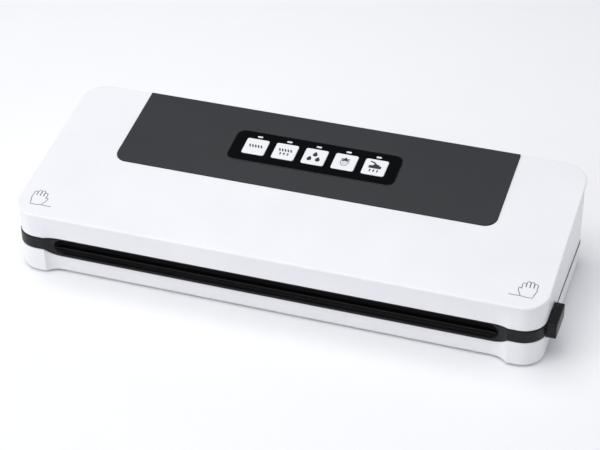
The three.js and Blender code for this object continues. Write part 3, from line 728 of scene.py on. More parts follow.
def bay_share(plan: np.ndarray) -> np.ndarray:
    """How much of the front bay a plan point has: 1 between the inner ends, 0 outside the outer.

    In between it is 1 - t^3, which leaves the bay gently and meets the corner block in a
    crease; the sides and the rear have none.
    """
    reach = (np.abs(plan[:, 0]) - BODY.bay_inner) / (BODY.bay_outer - BODY.bay_inner)
    return np.where(plan[:, 1] < -BODY.half_depth * 0.75, 1 - np.clip(reach, 0, 1) ** 3, 0.0)


def body_plan(inset: float = 0.0, bay: float = 0.0) -> np.ndarray:
    """The body's plan drawn in by `inset`, its front pushed back by `bay` between the blocks.

    Args:
        inset: how far the outline is drawn in.
        bay: how far the front stands back in the bay.

    Returns:
        (n, 2) points, anticlockwise.
    """
    w, d, r = BODY.half_width - inset, BODY.half_depth - inset, BODY.corner - inset
    end = BODY.half_width - BODY.corner
    run = BODY.half_depth - BODY.corner
    turn_in = np.linspace(BODY.bay_inner, BODY.bay_outer, 13)
    xs = np.concatenate([[-end], -turn_in[::-1], np.linspace(-140, 140, 15), turn_in])
    step = BODY.step_y + np.array([-0.8, -0.3, -0.15, 0.0, 0.15, 0.3, 0.8])
    ys = np.concatenate([[-run, -44.0], step, np.linspace(-20, 40, 5)])
    line = Outline([np.stack([xs, np.full(len(xs), -d)], 1)])
    line.arc(end, -run, r, -90, steps=20)
    line.points.append(np.stack([np.full(len(ys), w), ys], 1))
    line.arc(end, run, r, 0, steps=20).line((end, d), (-end, d), 12).arc(-end, run, r, 90, steps=20)
    line.points.append(np.stack([np.full(len(ys), -w), ys[::-1]], 1))
    line.points[-1] = np.vstack([[[-w, run]], line.points[-1][:-1]])
    line.arc(-end, -run, r, 180, steps=20)
    plan = line.plan()
    plan[:, 1] += bay * bay_share(plan)
    return plan


Height = float | Callable[[np.ndarray], np.ndarray]


def ring(inset: float, bay: float, height: Height) -> Ring:
    """One ring of a body-shaped loft, at a fixed height or one worked out from its plan.

    Args:
        inset: how far the outline is drawn in.
        bay: how far the front stands back in the bay.
        height: a height, or a function that gives one for each plan point.

    Returns:
        (n, 3) points.
    """
    plan = body_plan(inset, bay)
    z = height(plan) if callable(height) else np.full(len(plan), height)
    return np.column_stack([plan, z])


HINGE_Y, HINGE_Z, HINGE_X = 67.9, 23.2, 110.0
BARREL_R, BARREL_W, PIN_R, EAR_W = 2.4, 24.0, 1.1, 7.0
FAR = 300.0
OVER_DECK = 60.0
SCREW_R = 1.8


def round_bar(x0: float, x1: float, y: float, z: float, radius: float, sides: int = 32) -> Shape:
    """A bar of round section along X."""
    return rod(x1 - x0, radius, 0.1, sides).placed(TO_X).moved(x0, y, z)


def pipe_y(x: float, y0: float, y1: float, z: float, radius: float) -> Shape:
    """A bar of round section along Y."""
    return rod(y1 - y0, radius, 0.1).placed(TO_Y).moved(x, y0, z)


def post(x: float, y: float, z0: float, z1: float, radius: float) -> Shape:
    """An upright bar of round section."""
    return rod(z1 - z0, radius, 0.1).moved(x, y, z0)


# ---- Lid --------------------------------------------------------------------------------------


@dataclass
class Lid:
    """The sloping white lid with its inner plate, seals and hooks."""

    rim_round: float = 0.9
    rim_lip: float = 1.1
    rim_step: float = 0.9
    edge_round: float = 0.5
    roof: float = 3.4
    panel_half: float = 138.1
    panel_front: float = 67.4
    panel_corner: float = 9.0
    recess: float = 1.6
    plate_low: float = 33.0
    plate_high: float = 35.0
    plate_rear: float = -6.0
    boss: float = 3.6
    screws: tuple[tuple[str, float, float], ...] = (
        ("front_left", -176, -60), ("front_right", 176, -60),
        ("rear_left", -176, -13), ("rear_right", 176, -13),
    )

    def lower_edge(self, plan: np.ndarray) -> np.ndarray:
        """Height of the lower edge: high along the front, stepping down behind the buttons."""
        share = smooth((plan[:, 1] - BODY.step_y + 0.3) / 0.6)
        return BODY.lid_front + (BODY.lid_side - BODY.lid_front) * share

    def under_top(self, drop: float) -> Callable[[np.ndarray], np.ndarray]:
        """Heights that lie `drop` below the sloping top."""
        return lambda plan: BODY.top(plan) - drop

    def over_edge(self, rise: float) -> Callable[[np.ndarray], np.ndarray]:
        """Heights that lie `rise` above the lower edge."""
        return lambda plan: self.lower_edge(plan) + rise

    def skirt(self, share: float, start: float) -> Callable[[np.ndarray], np.ndarray]:
        """Heights a share of the way from `start` under the top down to the lower edge.

        Args:
            share: 0 where the skirt begins, 1 above the round of the lower edge.
            start: how far below the top the skirt begins.

        Returns:
            A function from plan points to heights.
        """
        def height(plan: np.ndarray) -> np.ndarray:
            """The mix of the two heights over the plan.

            Args:
                plan: (n, 2) points of the plan.

            Returns:
                Their heights.
            """
            high = BODY.top(plan) - start
            low = self.lower_edge(plan) + self.edge_round
            return high * (1 - share) + low * share
        return height

    def shell(self) -> Shape:
        """The moulded lid: rim, lip, slanting skirt, lower edge, inner wall and roof.

        Returns:
            The closed shell.
        """
        rings = [ring(self.rim_round + 0.4, 0, self.under_top(0))]
        for inset, drop in fillet_steps(self.rim_round, 6):
            rings.append(ring(inset, 0, self.under_top(drop)))
        start = self.rim_round + self.rim_lip
        rings.append(ring(0, 0, self.under_top(start - 0.15)))
        rings.append(ring(0.15, 0, self.under_top(start)))
        rings.append(ring(self.rim_step + 0.25, 0, self.under_top(start)))
        rings.append(ring(self.rim_step + 0.25, 0, self.under_top(start + 0.5)))
        bay = BODY.lid_bay - self.rim_step
        for share in np.linspace(0.04, 1, 9):
            rings.append(ring(self.rim_step, bay * share, self.skirt(share, start)))
        for inset, rise in reversed(fillet_steps(self.edge_round, 3)[:-1]):
            rings.append(ring(self.rim_step + inset, bay, self.over_edge(rise)))
        rings.append(ring(BODY.wall - 0.2, BODY.lid_bay, self.over_edge(0)))
        rings.append(ring(BODY.wall, BODY.lid_bay, self.over_edge(0.2)))
        rings.append(ring(BODY.wall, BODY.lid_bay, self.over_edge(6)))
        rings.append(ring(BODY.wall, BODY.lid_bay, self.under_top(self.roof)))
        rings.append(ring(BODY.wall + 0.5, BODY.lid_bay, self.under_top(self.roof)))
        return loft(rings)

    def ear(self, x0: float, x1: float) -> Shape:
        """A hinge ear: a round eye with a web up into the rear wall."""
        eye = round_bar(x0, x1, HINGE_Y, HINGE_Z, 2.1)
        return weld(eye, block(x0, x1, HINGE_Y - 2.1, BODY.half_depth - 0.6, HINGE_Z, 28))

    def build_housing(self) -> None:
        """The white upper housing with its recess, hinge ears, screw bosses and board posts."""
        additions = []
        for _, x, y in self.screws:
            top = BODY.top(np.array([[x, y]]))[0] - 1.6
            additions.append(post(x, y, self.plate_high + 0.3, top, self.boss))
        for u in (-58, 58):
            for v in (93, 114):
                additions.append(post(u, v, -7.2, -2.4, 2.2).placed(SLOPE_FRAME))
        cuts = []
        inner = BARREL_W / 2 + 0.4
        for side in Side:
            for x0 in (HINGE_X - inner - EAR_W, HINGE_X + inner):
                additions.append(self.ear(x0, x0 + EAR_W).mirrored(side))
            x = side.value * HINGE_X
            notch = HINGE_Z + BARREL_R + 0.5
            cuts.append(block(x - inner, x + inner, 60, 80, 10, notch))
            cuts.append(round_bar(x - 40, x + 40, HINGE_Y, HINGE_Z, PIN_R + 0.2))
        cuts += [post(x, y, 30, self.plate_high + 10, SCREW_R) for _, x, y in self.screws]
        recess = rounded(-self.panel_half, self.panel_half, self.panel_front, 200,
                         self.panel_corner, 12)
        cuts.append(prism(recess, -self.recess, 20).placed(SLOPE_FRAME))
        opening = rounded(-55, 55, 89.7, 117.8, 3)
        cuts.append(prism(opening, -20, -self.recess + 1).placed(SLOPE_FRAME))
        housing = carve(weld(self.shell(), *additions), *cuts)
        make_piece("lid_shell", housing, WHITE_ABS, "lid", ["upper_housing"])

    def build_plate(self) -> None:
        """The black plate that closes the front of the lid and carries the seals."""
        rings = [ring(inset, 3.6, z) for inset, z in
                 ((3.2, self.plate_high), (2.7, self.plate_high - 0.3), (2.7, self.plate_low + 0.4),
                  (3.1, self.plate_low), (3.6, self.plate_low))]
        cuts = [block(-FAR, FAR, self.plate_rear, FAR, 0, 60)]
        cuts += [post(x, y, 30, 40, SCREW_R) for _, x, y in self.screws]
        plate = carve(loft(rings), *cuts)
        make_piece("lid_plate", plate, BLACK_ABS, "lid", ["lid_inner_plate"])

    def build(self) -> None:
        """Every piece of the lid apart from the controls."""
        self.build_housing()
        self.build_plate()
        for side in Side:
            dress_node(f"latch_hook_{side.word}", STEEL, 0.3)


# ---- Controls -----------------------------------------------------------------------------------


@dataclass
class Controls:
    """The inlay on the lid, the glossy strip, five keys and their lights, up the slope."""

    panel_half: float = 137.8
    panel_front: float = 67.7
    panel_corner: float = 8.7
    panel_proud: float = 0.9
    floor: float = -1.3
    strip_half: float = 61.0
    strip_front: float = 88.2
    strip_rear: float = 119.3
    strip_corner: float = 6.0
    strip_proud: float = 1.0
    pitch: float = 21.94
    key_half: tuple[float, float] = (8.3, 8.0)
    key_v: float = 104.2
    key_proud: float = 1.3
    light_v: float = 114.9
    gap: float = 0.3

    def key_x(self, number: int) -> float:
        """Distance of key `number`, from 1, from the middle of the lid."""
        return self.pitch * (number - 3)

    def key_plan(self, margin: float, radius: float) -> np.ndarray:
        """A key's outline about its own middle."""
        w, d = self.key_half
        return rounded(-w - margin, w + margin, -d - margin, d + margin, radius)

    def light_plan(self, margin: float) -> np.ndarray:
        """A light's outline about its own middle."""
        return rounded(-2 - margin, 2 + margin, -0.8 - margin, 0.8 + margin, 0.75 + margin)

    def build_panel(self) -> None:
        """The matte inlay with its pocket for the strip."""
        rear = 2 * BODY.half_depth / math.cos(BODY.slope) - 0.8
        outline = rounded(-self.panel_half, self.panel_half, self.panel_front, rear + 20,
                          self.panel_corner, 12, 12)
        plate = cushion(outline, self.floor, self.panel_proud, 0.25)
        g = self.gap
        pocket = rounded(-self.strip_half - g, self.strip_half + g, self.strip_front - g,
                         self.strip_rear + g, self.strip_corner + g)
        plate = carve(plate, prism(pocket, -5, 5), block(-FAR, FAR, rear, FAR, -10, 10))
        make_piece("panel", plate.placed(SLOPE_FRAME), ANTHRACITE, "lid",
                   ["panel_inlay"])

    def build_strip(self) -> None:
        """The glossy control strip with windows for keys and lights."""
        outline = rounded(-self.strip_half, self.strip_half, self.strip_front, self.strip_rear,
                          self.strip_corner, 12, 12)
        strip = cushion(outline, self.floor, self.strip_proud, 0.35)
        cuts = []
        for number in range(1, 6):
            x = self.key_x(number)
            cuts.append(prism(self.key_plan(self.gap, 1.9), -5, 5).moved(x, self.key_v))
            cuts.append(prism(self.light_plan(self.gap), -5, 5).moved(x, self.light_v))
        make_piece("strip", carve(strip, *cuts).placed(SLOPE_FRAME), GLOSS_BLACK, "lid",
                   ["control_strip"])

    def key_shape(self) -> Shape:
        """A key cap with a rounded rim, a flange under the strip and a plunger.

        Returns:
            The cap about its own middle.
        """
        plan = self.key_plan(0, 1.6)
        rings = [ring_at(plan, 0.8, self.key_proud)]
        rings += [ring_at(plan, inset, self.key_proud - drop) for inset, drop in fillet_steps(0.5)]
        below = self.floor - self.gap
        rings += [ring_at(plan, 0, below), ring_at(self.key_plan(1.2, 2.8), 0, below),
                  ring_at(self.key_plan(1.2, 2.8), 0, -2.6)]
        return weld(loft(rings), rod(1.6, 2.0).moved(z=-3.5))

    def build_keys(self) -> None:
        """Five keys, each with its printed sign, and five lights."""
        cap = self.key_shape()
        light = cushion(self.light_plan(0), -7.2, 1.1, 0.3)
        for number in range(1, 6):
            x = self.key_x(number)
            body = f"key_{number}_cap"
            make_piece(f"key_{number}_top", cap.moved(x, self.key_v).placed(SLOPE_FRAME), KEY_WHITE,
                       body, [f"key_{number}"])
            make_piece(f"light_{number}", light.moved(x, self.light_v).placed(SLOPE_FRAME),
                       LIGHT_LENS, "lid", [f"light_guide_{number}"])
            for sign, (shape, ink) in enumerate(KEY_SIGNS[number - 1](), 1):
                placed = shape.moved(x, self.key_v, self.key_proud).placed(SLOPE_FRAME)
                make_piece(f"key_{number}_print_{sign}", placed, ink, body)

    def build(self) -> None:
        """Every control."""
        self.build_panel()
        self.build_strip()
        self.build_keys()
        dress_node("control_board", LAMINATE)
        for number in range(1, 6):
            dress_node(f"tact_switch_{number}", BLACK_ABS)


# ---- Printed signs, each about its own middle ----------------------------------------------------

INK_LOW, INK_HIGH = -0.02, 0.03
Sign = list[tuple[Shape, Finish]]


def disc(x: float, y: float, radius: float, stretch: float = 1.0, sides: int = 20) -> Shape:
    """A printed round spot, `stretch` times as tall as wide.

    Args:
        x: centre across.
        y: centre up the key.
        radius: half its width.
        stretch: its height over its width.
        sides: how many sides it has.

    Returns:
        The spot.
    """
    a = np.arange(sides) * 2 * math.pi / sides
    plan = np.stack([x + radius * np.cos(a), y + radius * stretch * np.sin(a)], 1)
    return prism(plan, INK_LOW, INK_HIGH)


def stroke(points: np.ndarray, width: float) -> Shape:
    """A printed line through the points."""
    return ribbon(np.asarray(points, float), width, INK_LOW, INK_HIGH)


def arrow(x: float, y: float, height: float = 2.0) -> Shape:
    """A small solid arrow that points up.

    Args:
        x: its middle across.
        y: its tip up the key.
        height: its length.

    Returns:
        The arrow.
    """
    head, half, stem = height * 0.5, height * 0.32, height * 0.12
    plan = np.array([[0, 0], [half, -head], [stem, -head], [stem, -height], [-stem, -height],
                     [-stem, -head], [-half, -head]])
    return prism((plan + np.array([x, y]))[::-1], INK_LOW, INK_HIGH)


def seam_marks(y: float, height: float) -> list[Shape]:
    """Five short wavy marks side by side: x = a sin(2 pi t) over their height.

    Args:
        y: middle of the row.
        height: height of a mark.

    Returns:
        The five marks.
    """
    t = np.linspace(0, 1, 13)
    return [
        stroke(np.stack([x + 0.42 * np.sin(2 * math.pi * t), y + height * (t - 0.5)], 1), 0.95)
        for x in np.linspace(-4.2, 4.2, 5)
    ]


def arrows(y: float, height: float, pitch: float = 2.7) -> list[Shape]:
    """Three small arrows side by side with their tips at `y`."""
    return [arrow(x, y, height) for x in (-pitch, 0.0, pitch)]


def seal_sign() -> Sign:
    """A row of seam marks."""
    return [(together(seam_marks(0.4, 2.7)), INK)]


def vacuum_seal_sign() -> Sign:
    """A row of seam marks over three arrows."""
    return [(together(seam_marks(1.2, 2.5) + arrows(-1.1, 2.9)), INK)]


def drop(x: float, y: float, half_width: float = 1.75, half_height: float = 2.4) -> Shape:
    """A solid drop, pointed above: x = 1.25 w sin(a) sqrt((1 - cos(a)) / 2), y = h cos(a).

    Args:
        x: its middle across.
        y: its middle up the key.
        half_width: w, about half its width.
        half_height: h, half its height.

    Returns:
        The drop.
    """
    a = np.linspace(0, 2 * math.pi, 28, endpoint=False)
    across = -1.25 * half_width * np.sin(a) * np.sqrt((1 - np.cos(a)) / 2)
    return prism(np.stack([x + across, y + half_height * np.cos(a)], 1), INK_LOW, INK_HIGH)


def moist_sign() -> Sign:
    """Three drops."""
    return [(together([drop(-0.2, 2.6), drop(-3.3, -2.2), drop(2.8, -2.2)]), INK)]


def soft_food_sign() -> Sign:
    """A berry: a leafy cap over a tapering, dotted body.

    Its outline is x = w(t) cos(t) with w falling from 3.7 at the top to 2.3 at the tip, and
    the dots are the points of a staggered grid that lie inside it.

    Returns:
        The layers of the sign, each with its ink.
    """
    t = np.linspace(0, 2 * math.pi, 41)
    wide = 3.0 + 0.7 * np.sin(t)
    rim = np.stack([wide * np.cos(t), 3.6 * np.sin(t) - 0.6], 1)
    grid = np.stack(np.meshgrid(np.arange(-4, 5) * 0.95, np.arange(-4, 5) * 0.95), -1)
    grid[1::2, :, 0] += 0.47
    spots = grid.reshape(-1, 2)
    inside = (spots[:, 0] / (2.9 + 0.19 * spots[:, 1])) ** 2 + ((spots[:, 1] + 0.6) / 3.3) ** 2 < 0.9
    dots = [disc(x, y, 0.27, sides=8) for x, y in spots[inside & (spots[:, 1] < 1.6)]]
    leaf = 0.72 + 0.28 * np.cos(5 * (t[:-1] - math.pi / 2))
    cap = np.stack([3.6 * leaf * np.cos(t[:-1]), 2.3 + 2.1 * leaf * np.sin(t[:-1])], 1)
    body = together([stroke(rim, 0.4)] + dots)
    return [(body, TONE_INK), (prism(cap, INK_LOW, INK_HIGH + 0.01), INK)]


def hose_sign() -> Sign:
    """A hose that curves up and away from a bar, over three arrows.

    Returns:
        The one layer of the sign, with its ink.
    """
    bar = prism(rounded(-4.5, 4.5, -1.4, 1.4, 0.6, 3), INK_LOW, INK_HIGH)
    hump = prism(rounded(-1.8, 2.8, 1.0, 2.6, 0.7, 3), INK_LOW, INK_HIGH + 0.01)
    t = np.linspace(0, 1, 20)
    hose = np.stack([0.6 - 5.0 * t**1.5, 1.6 + 3.4 * np.sin(math.pi / 2 * t)], 1)
    return [(together([bar, hump, stroke(hose, 1.15)] + arrows(-2.3, 2.9)), INK)]


KEY_SIGNS: tuple[Callable[[], Sign], ...] = (
    seal_sign, vacuum_seal_sign, moist_sign, soft_food_sign, hose_sign,
)


@dataclass
class Pictograms:
    """Two outlined hands on the front corners of the lid that show where to press."""

    place: tuple[float, float] = (172.9, -54.0)
    line: float = 0.5
    first: float = -3.7
    pitch: float = 2.55
    finger: float = 1.2
    tips: tuple[float, ...] = (5.0, 6.7, 6.6, 5.3)
    slit: float = 2.7

    def outline(self) -> np.ndarray:
        """The hand's outline, fingers up the slope, thumb to the left, ending along the wrist.

        Returns:
            (n, 2) points of an open line.
        """
        thumb = [[-4.4, -5.4], [-4.9, -4.2], [-6.2, -1.8], [-6.8, 0.6], [-6.2, 1.7], [-5.3, 1.5],
                 [-4.9, 0.8]]
        points = [np.array(thumb)]
        bend = np.linspace(math.pi, 0, 9)
        for number, tip in enumerate(self.tips):
            x = self.first + number * self.pitch
            low = self.slit if number else 0.9
            points.append(np.array([[x - self.finger, low]]))
            points.append(np.stack([x + self.finger * np.cos(bend),
                                    tip + self.finger * np.sin(bend)], 1))
            points.append(np.array([[x + self.finger, self.slit]]))
        heel = [[5.3, 0.2], [4.7, -1.9], [4.1, -4.2], [3.8, -6.1], [0.0, -6.2], [-4.2, -5.7],
                [-8.0, -5.9], [-11.8, -5.8]]
        points.append(np.array(heel))
        return np.vstack(points)

    def build(self) -> None:
        """Both hands, the left one a mirror image."""
        v = (self.place[1] + BODY.half_depth) / math.cos(BODY.slope)
        for side in Side:
            hand = stroke(self.outline(), self.line).moved(self.place[0], v)
            make_piece(f"hand_{side.word}", hand.mirrored(side).placed(SLOPE_FRAME), GREY_INK, "lid")


# ---- Base ---------------------------------------------------------------------------------------


@dataclass
class Base:
    """The white lower housing with its feet, screws and hinge barrels."""

    outer: float = 0.3
    draft: float = 0.8
    under_round: float = 1.6
    edge_round: float = 0.4
    floor: float = 3.9
    foot: float = 8.0
    feet: tuple[tuple[str, float, float], ...] = (
        ("front_left", -145, -46), ("front_right", 145, -46),
        ("rear_left", -145, 46), ("rear_right", 145, 46),
    )
    screws: tuple[tuple[str, float, float], ...] = (
        ("front_left", -165, -14), ("front_right", 165, -14),
        ("rear_left", -165, 52), ("rear_right", 165, 52),
    )
    tube_top: float = 15.2
    gland_x: float = -128.0
    gland_z: float = 11.0

    def rim(self, fall: float) -> Callable[[np.ndarray], np.ndarray]:
        """Heights `fall` below the upper edge, which dips along the bay."""
        dip = BODY.base_top - BODY.bay_top
        return lambda plan: BODY.base_top - dip * bay_share(plan) - fall

    def wall_at(self, share: float) -> Callable[[np.ndarray], np.ndarray]:
        """Heights a share of the way from the upper edge down to the lower round.

        Args:
            share: 0 at the upper edge, 1 at the lower round.

        Returns:
            A function from plan points to heights.
        """
        low = BODY.base_bottom + self.under_round
        rim = self.rim(self.edge_round)
        return lambda plan: rim(plan) * (1 - share) + low * share

    def shell(self) -> Shape:
        """The tray: floor, inner wall, upper edge, drafted outer wall and rounded underside.

        Returns:
            The closed shell.
        """
        bay, wall = BODY.base_bay, self.outer + BODY.wall
        rings = [ring(wall + 1.5, bay, self.floor), ring(wall + 1.0, bay, self.floor)]
        rings += [ring(wall + 0.3, bay, self.floor + 0.3), ring(wall, bay, self.floor + 1)]
        rings += [ring(wall, bay, self.rim(0.2)), ring(wall - 0.2, bay, self.rim(0))]
        for inset, drop in fillet_steps(self.edge_round, 3):
            rings.append(ring(self.outer + inset, bay, self.rim(drop)))
        for share in np.linspace(0.2, 1, 5):
            rings.append(ring(self.outer + self.draft * share, bay, self.wall_at(share)))
        for inset, drop in reversed(fillet_steps(self.under_round, 5)[:-1]):
            height = BODY.base_bottom + drop
            rings.append(ring(self.outer + self.draft + inset, bay, height))
        last = self.outer + self.draft + self.under_round + 0.4
        rings.append(ring(last, bay, BODY.base_bottom))
        return loft(rings)

    def barrel(self) -> Shape:
        """A right-hand hinge barrel on a web down into the rear wall.

        Returns:
            The barrel; the left one is its mirror image.
        """
        x0, x1 = HINGE_X - BARREL_W / 2, HINGE_X + BARREL_W / 2
        web = block(x0, x1, HINGE_Y - BARREL_R, BODY.half_depth - 0.9, 14, HINGE_Z)
        return weld(round_bar(x0, x1, HINGE_Y, HINGE_Z, BARREL_R), web)

    def build_housing(self) -> None:
        """The white lower housing."""
        tubes = [post(x, y, self.floor - 1, self.tube_top, 4.4) for _, x, y in self.screws]
        barrels = [self.barrel().mirrored(side) for side in Side]
        cuts = [post(x, y, 0, BODY.base_bottom + 0.8, self.foot + 0.3) for _, x, y in self.feet]
        for _, x, y in self.screws:
            cuts += [post(x, y, 0, 30, SCREW_R), post(x, y, 0, 5, 3.2)]
        for side in Side:
            x = side.value * HINGE_X
            cuts.append(round_bar(x - 40, x + 40, HINGE_Y, HINGE_Z, PIN_R + 0.2))
        cuts.append(prism(rounded(-57.0, BODY.step_y, 18.0, 90.0, 1.2), 179.5, 200).placed(CYCLE))
        rear = BODY.half_depth
        cuts.append(pipe_y(self.gland_x, rear - 8, rear + 5, self.gland_z, 4.3))
        cuts.append(pipe_y(self.gland_x, rear - 1.9, rear + 5, self.gland_z, 6.7))
        housing = carve(weld(self.shell(), *tubes, *barrels), *cuts)
        make_piece("base_shell", housing, WHITE_ABS, "base", ["lower_housing"])

    def build_feet(self) -> None:
        """Four round rubber feet with a softened tread edge."""
        profile = [(6.0, 2.0), (8.0, 2.0), (8.0, 1.0), (7.7, 0.45), (7.2, 0.12), (6.6, 0.0),
                   (5.0, 0.0), (4.6, 0.35), (3.0, 0.35)]
        foot = turned(profile, 48)
        for name, x, y in self.feet:
            make_piece(f"foot_pad_{name}", foot.moved(x, y), RUBBER, "base",
                       [f"foot_{name}"])

    def build(self) -> None:
        """Every piece of the base's outside and its machinery."""
        self.build_housing()
        self.build_feet()
        for name, x, y in self.screws:
            make_piece(f"base_screw_{name}_pan", screw_shape(16).moved(x, y, 2.5), STEEL, "base",
                       [f"base_screw_{name}"])
        gland = turned([(3.0, 6.0), (5.2, 5.9), (6.2, 5.4), (6.4, 4.4), (4.0, 4.3), (4.0, 0.0),
                        (3.0, 0.0)], 48)
        bored = carve(gland, rod(8, 2.95).moved(z=-1))
        place = (self.gland_x, BODY.half_depth - 6, self.gland_z)
        make_piece("lead_gland", bored.placed(TO_Y).moved(*place), RUBBER, "base",
                   ["cord_gland"])


CYCLE = Matrix(((0, 0, 1, 0), (1, 0, 0, 0), (0, 1, 0, 0), (0, 0, 0, 1)))


def screw_shape(shank: float) -> Shape:
    """A pan-head screw, head down, with a cross recess in its head.

    Args:
        shank: length from the face of the head to where the point begins.

    Returns:
        The screw, the face of its head at the origin.
    """
    profile = [(0.3, shank + 1), (1.5, shank), (1.5, 2.2), (2.8, 2.2), (2.8, 1.0), (2.6, 0.45),
               (2.2, 0.12), (1.6, 0.0)]
    arms = [block(-1.3, 1.3, -0.3, 0.3, -1, 1.1), block(-0.3, 0.3, -1.3, 1.3, -1, 1.1)]
    return carve(turned(profile, 32), *arms)


# ---- Deck -----------------------------------------------------------------------------------------


@dataclass
class Deck:
    """The black deck: sealing platform, finger scoop, chamber, seals and heater.

    A groove is (half width, front, rear, corner radius). The platform, the well, the slot and the
    strip are plans: (left, right, front, rear, corner radius). The latch pocket, the channel and
    the button's two openings are boxes: (left, right, front, rear, low, high).
    """

    inset: float = 0.4
    lip_bay: float = 4.0
    lip_low: float = 14.5
    side_low: float = 20.7
    edge_round: float = 0.8
    scoop_radius: float = 6.0
    scoop_y: float = -66.6
    scoop_z: float = 22.6
    plate_low: float = 15.5
    rear_top: float = 20.9
    seam_top: float = 21.1
    seam_inset: float = 0.6
    seam_rear: float = 62.0
    latch_step: float = 340.0
    groove_out: tuple[float, ...] = (155, -44.5, -2.5, 10)
    groove_in: tuple[float, ...] = (150, -39.5, -7.5, 5)
    groove_floor: float = 26.5
    gap: float = 0.3
    platform: tuple[float, ...] = (-184.2, 184.2, -34.0, -1.0, 2.0)
    machine_well: tuple[float, ...] = (-146.0, 146.0, 6.0, 57.0, 5.0)
    latch_pocket: tuple[float, ...] = (151.5, 182.3, -58.0, -28.5, 0.0, 25.3)
    latch_slot: tuple[float, ...] = (164.5, 175.0, -49.0, -37.0, 0.8)
    bar_channel: tuple[float, ...] = (-152.0, 152.0, -57.5, -46.5, 0.0, 24.0)
    button_opening: tuple[float, ...] = (184.6, 195.0, -57.0, -29.0, 18.0, OVER_DECK)
    stem_opening: tuple[float, ...] = (181.3, 195.0, -51.6, -34.4, 21.2, 25.3)
    barrel_opening: tuple[float, float] = (97.6, 122.4)
    arm_opening: tuple[float, float] = (90.0, 130.0)
    arm_floor: float = 19.6
    behind: float = 80.0
    screw_x: float = 165.0
    screw_rows: tuple[float, float] = (-14.0, 52.0)
    press_strip: tuple[float, ...] = (-150.0, 150.0, -59.0, -52.0, 1.0)
    chamber_half: float = 148.0
    chamber_front: float = -38.0
    chamber_rear: float = -9.0
    chamber_floor: float = 18.5
    heater_half: float = 152.0
    heater_front: float = -60.0
    heater_rear: float = -51.0
    heater_floor: float = 26.0
    heater_top: float = 29.3
    gasket_top: float = 30.7
    upper_seal: float = 31.0
    plate_under: float = 32.7
    cover_half: float = 150.0
    cover_front: float = 3.0
    cover_rear: float = 60.0
    cover_low: float = 21.2
    cover_top: float = 49.0
    cover_wall: float = 2.0
    cover_corner: float = 8.0
    nozzle_x: float = 60.0
    nozzle_z: float = 22.8
    nozzle_room: float = 3.0

    def local(self, nominal: float) -> Callable[[np.ndarray], np.ndarray]:
        """A height between the platform's top and the lip, squeezed where the lip ends higher.

        Args:
            nominal: the height where the lip is at its lowest.

        Returns:
            A function from plan points to heights.
        """
        def height(plan: np.ndarray) -> np.ndarray:
            """The squeezed height over the plan.

            Args:
                plan: (n, 2) points of the plan.

            Returns:
                Their heights.
            """
            low = self.side_low + (self.lip_low - self.side_low) * bay_share(plan)
            share = (BODY.deck_top - nominal) / (BODY.deck_top - self.lip_low)
            return BODY.deck_top - (BODY.deck_top - low) * share
        return height

    def hollowed(self, flat: Ring) -> Ring:
        """The ring with its front pressed back by the scoop.

        The scoop is a round-ended bar: y = y0 + sqrt(r^2 - dz^2 - dx^2), where dx counts from
        the ends of its straight run.

        Args:
            flat: the ring before the scoop is pressed in.

        Returns:
            The pressed ring.
        """
        dx = np.maximum(0, np.abs(flat[:, 0]) - BODY.bay_inner)
        dz = flat[:, 2] - self.scoop_z
        room = self.scoop_radius**2 - dx**2 - dz**2
        back = self.scoop_y + np.sqrt(np.maximum(room, 0))
        front = (flat[:, 1] < -BODY.half_depth * 0.75) & (room > 0)
        pressed = flat.copy()
        pressed[:, 1] = np.where(front, np.maximum(flat[:, 1], back), flat[:, 1])
        return pressed

    def front(self) -> Shape:
        """The front of the platform with the scoop and the lip below it.

        Returns:
            The closed front part.
        """
        top = BODY.deck_top
        rings = [ring(self.inset + self.edge_round + 0.4, BODY.lid_bay, top)]
        for inset, drop in fillet_steps(self.edge_round, 4):
            rings.append(ring(self.inset + inset, BODY.lid_bay, self.local(top - drop)))
        for angle in np.radians(np.linspace(8, 172, 19)):
            nominal = self.scoop_z + self.scoop_radius * math.cos(angle)
            bay = BODY.lid_bay + (self.lip_bay - BODY.lid_bay) * float(smooth(angle / math.pi))
            rings.append(self.hollowed(ring(self.inset, bay, self.local(nominal))))
        rings.append(ring(self.inset, self.lip_bay, self.local(self.lip_low + 1.6)))
        rings.append(ring(self.inset, self.lip_bay, self.local(self.lip_low + 0.4)))
        rings.append(ring(self.inset + 0.3, self.lip_bay, self.local(self.lip_low)))
        rings.append(ring(2.9, BODY.base_bay, self.local(self.lip_low)))
        rings.append(ring(3.2, BODY.base_bay, 16.0))
        rings.append(ring(3.6, BODY.base_bay, 16.0))
        return carve(loft(rings), block(-FAR, FAR, BODY.step_y, FAR, 0, OVER_DECK))

    def seal_plan(self, sizes: Sequence[float], inward: float) -> np.ndarray:
        """A gasket or groove outline drawn in by `inward`.

        Args:
            sizes: half width, front, rear and corner radius.
            inward: how far the outline is drawn in.

        Returns:
            (n, 2) points.
        """
        half, y0, y1, radius = sizes
        return rounded(inward - half, half - inward, y0 + inward, y1 - inward, radius - inward,
                       10, 10)

    def hoop(self, low: float, high: float, low_round: float, high_round: float) -> Shape:
        """A gasket with rounded edges that fills the groove's width but for the gap.

        Args:
            low: height of its underside.
            high: height of its top.
            low_round: radius of the lower edges.
            high_round: radius of the upper edges.

        Returns:
            The closed gasket.
        """
        outer = self.seal_plan(self.groove_out, self.gap)
        inner = self.seal_plan(self.groove_in, -self.gap)

        def at(share: float, z: float) -> Ring:
            """The ring `share` of the way from the outer outline to the inner, at height z.

            Args:
                share: 0 at the outer outline, 1 at the inner.
                z: height of the ring.

            Returns:
                (n, 3) points.
            """
            return np.column_stack([outer + (inner - outer) * share, np.full(len(outer), z)])

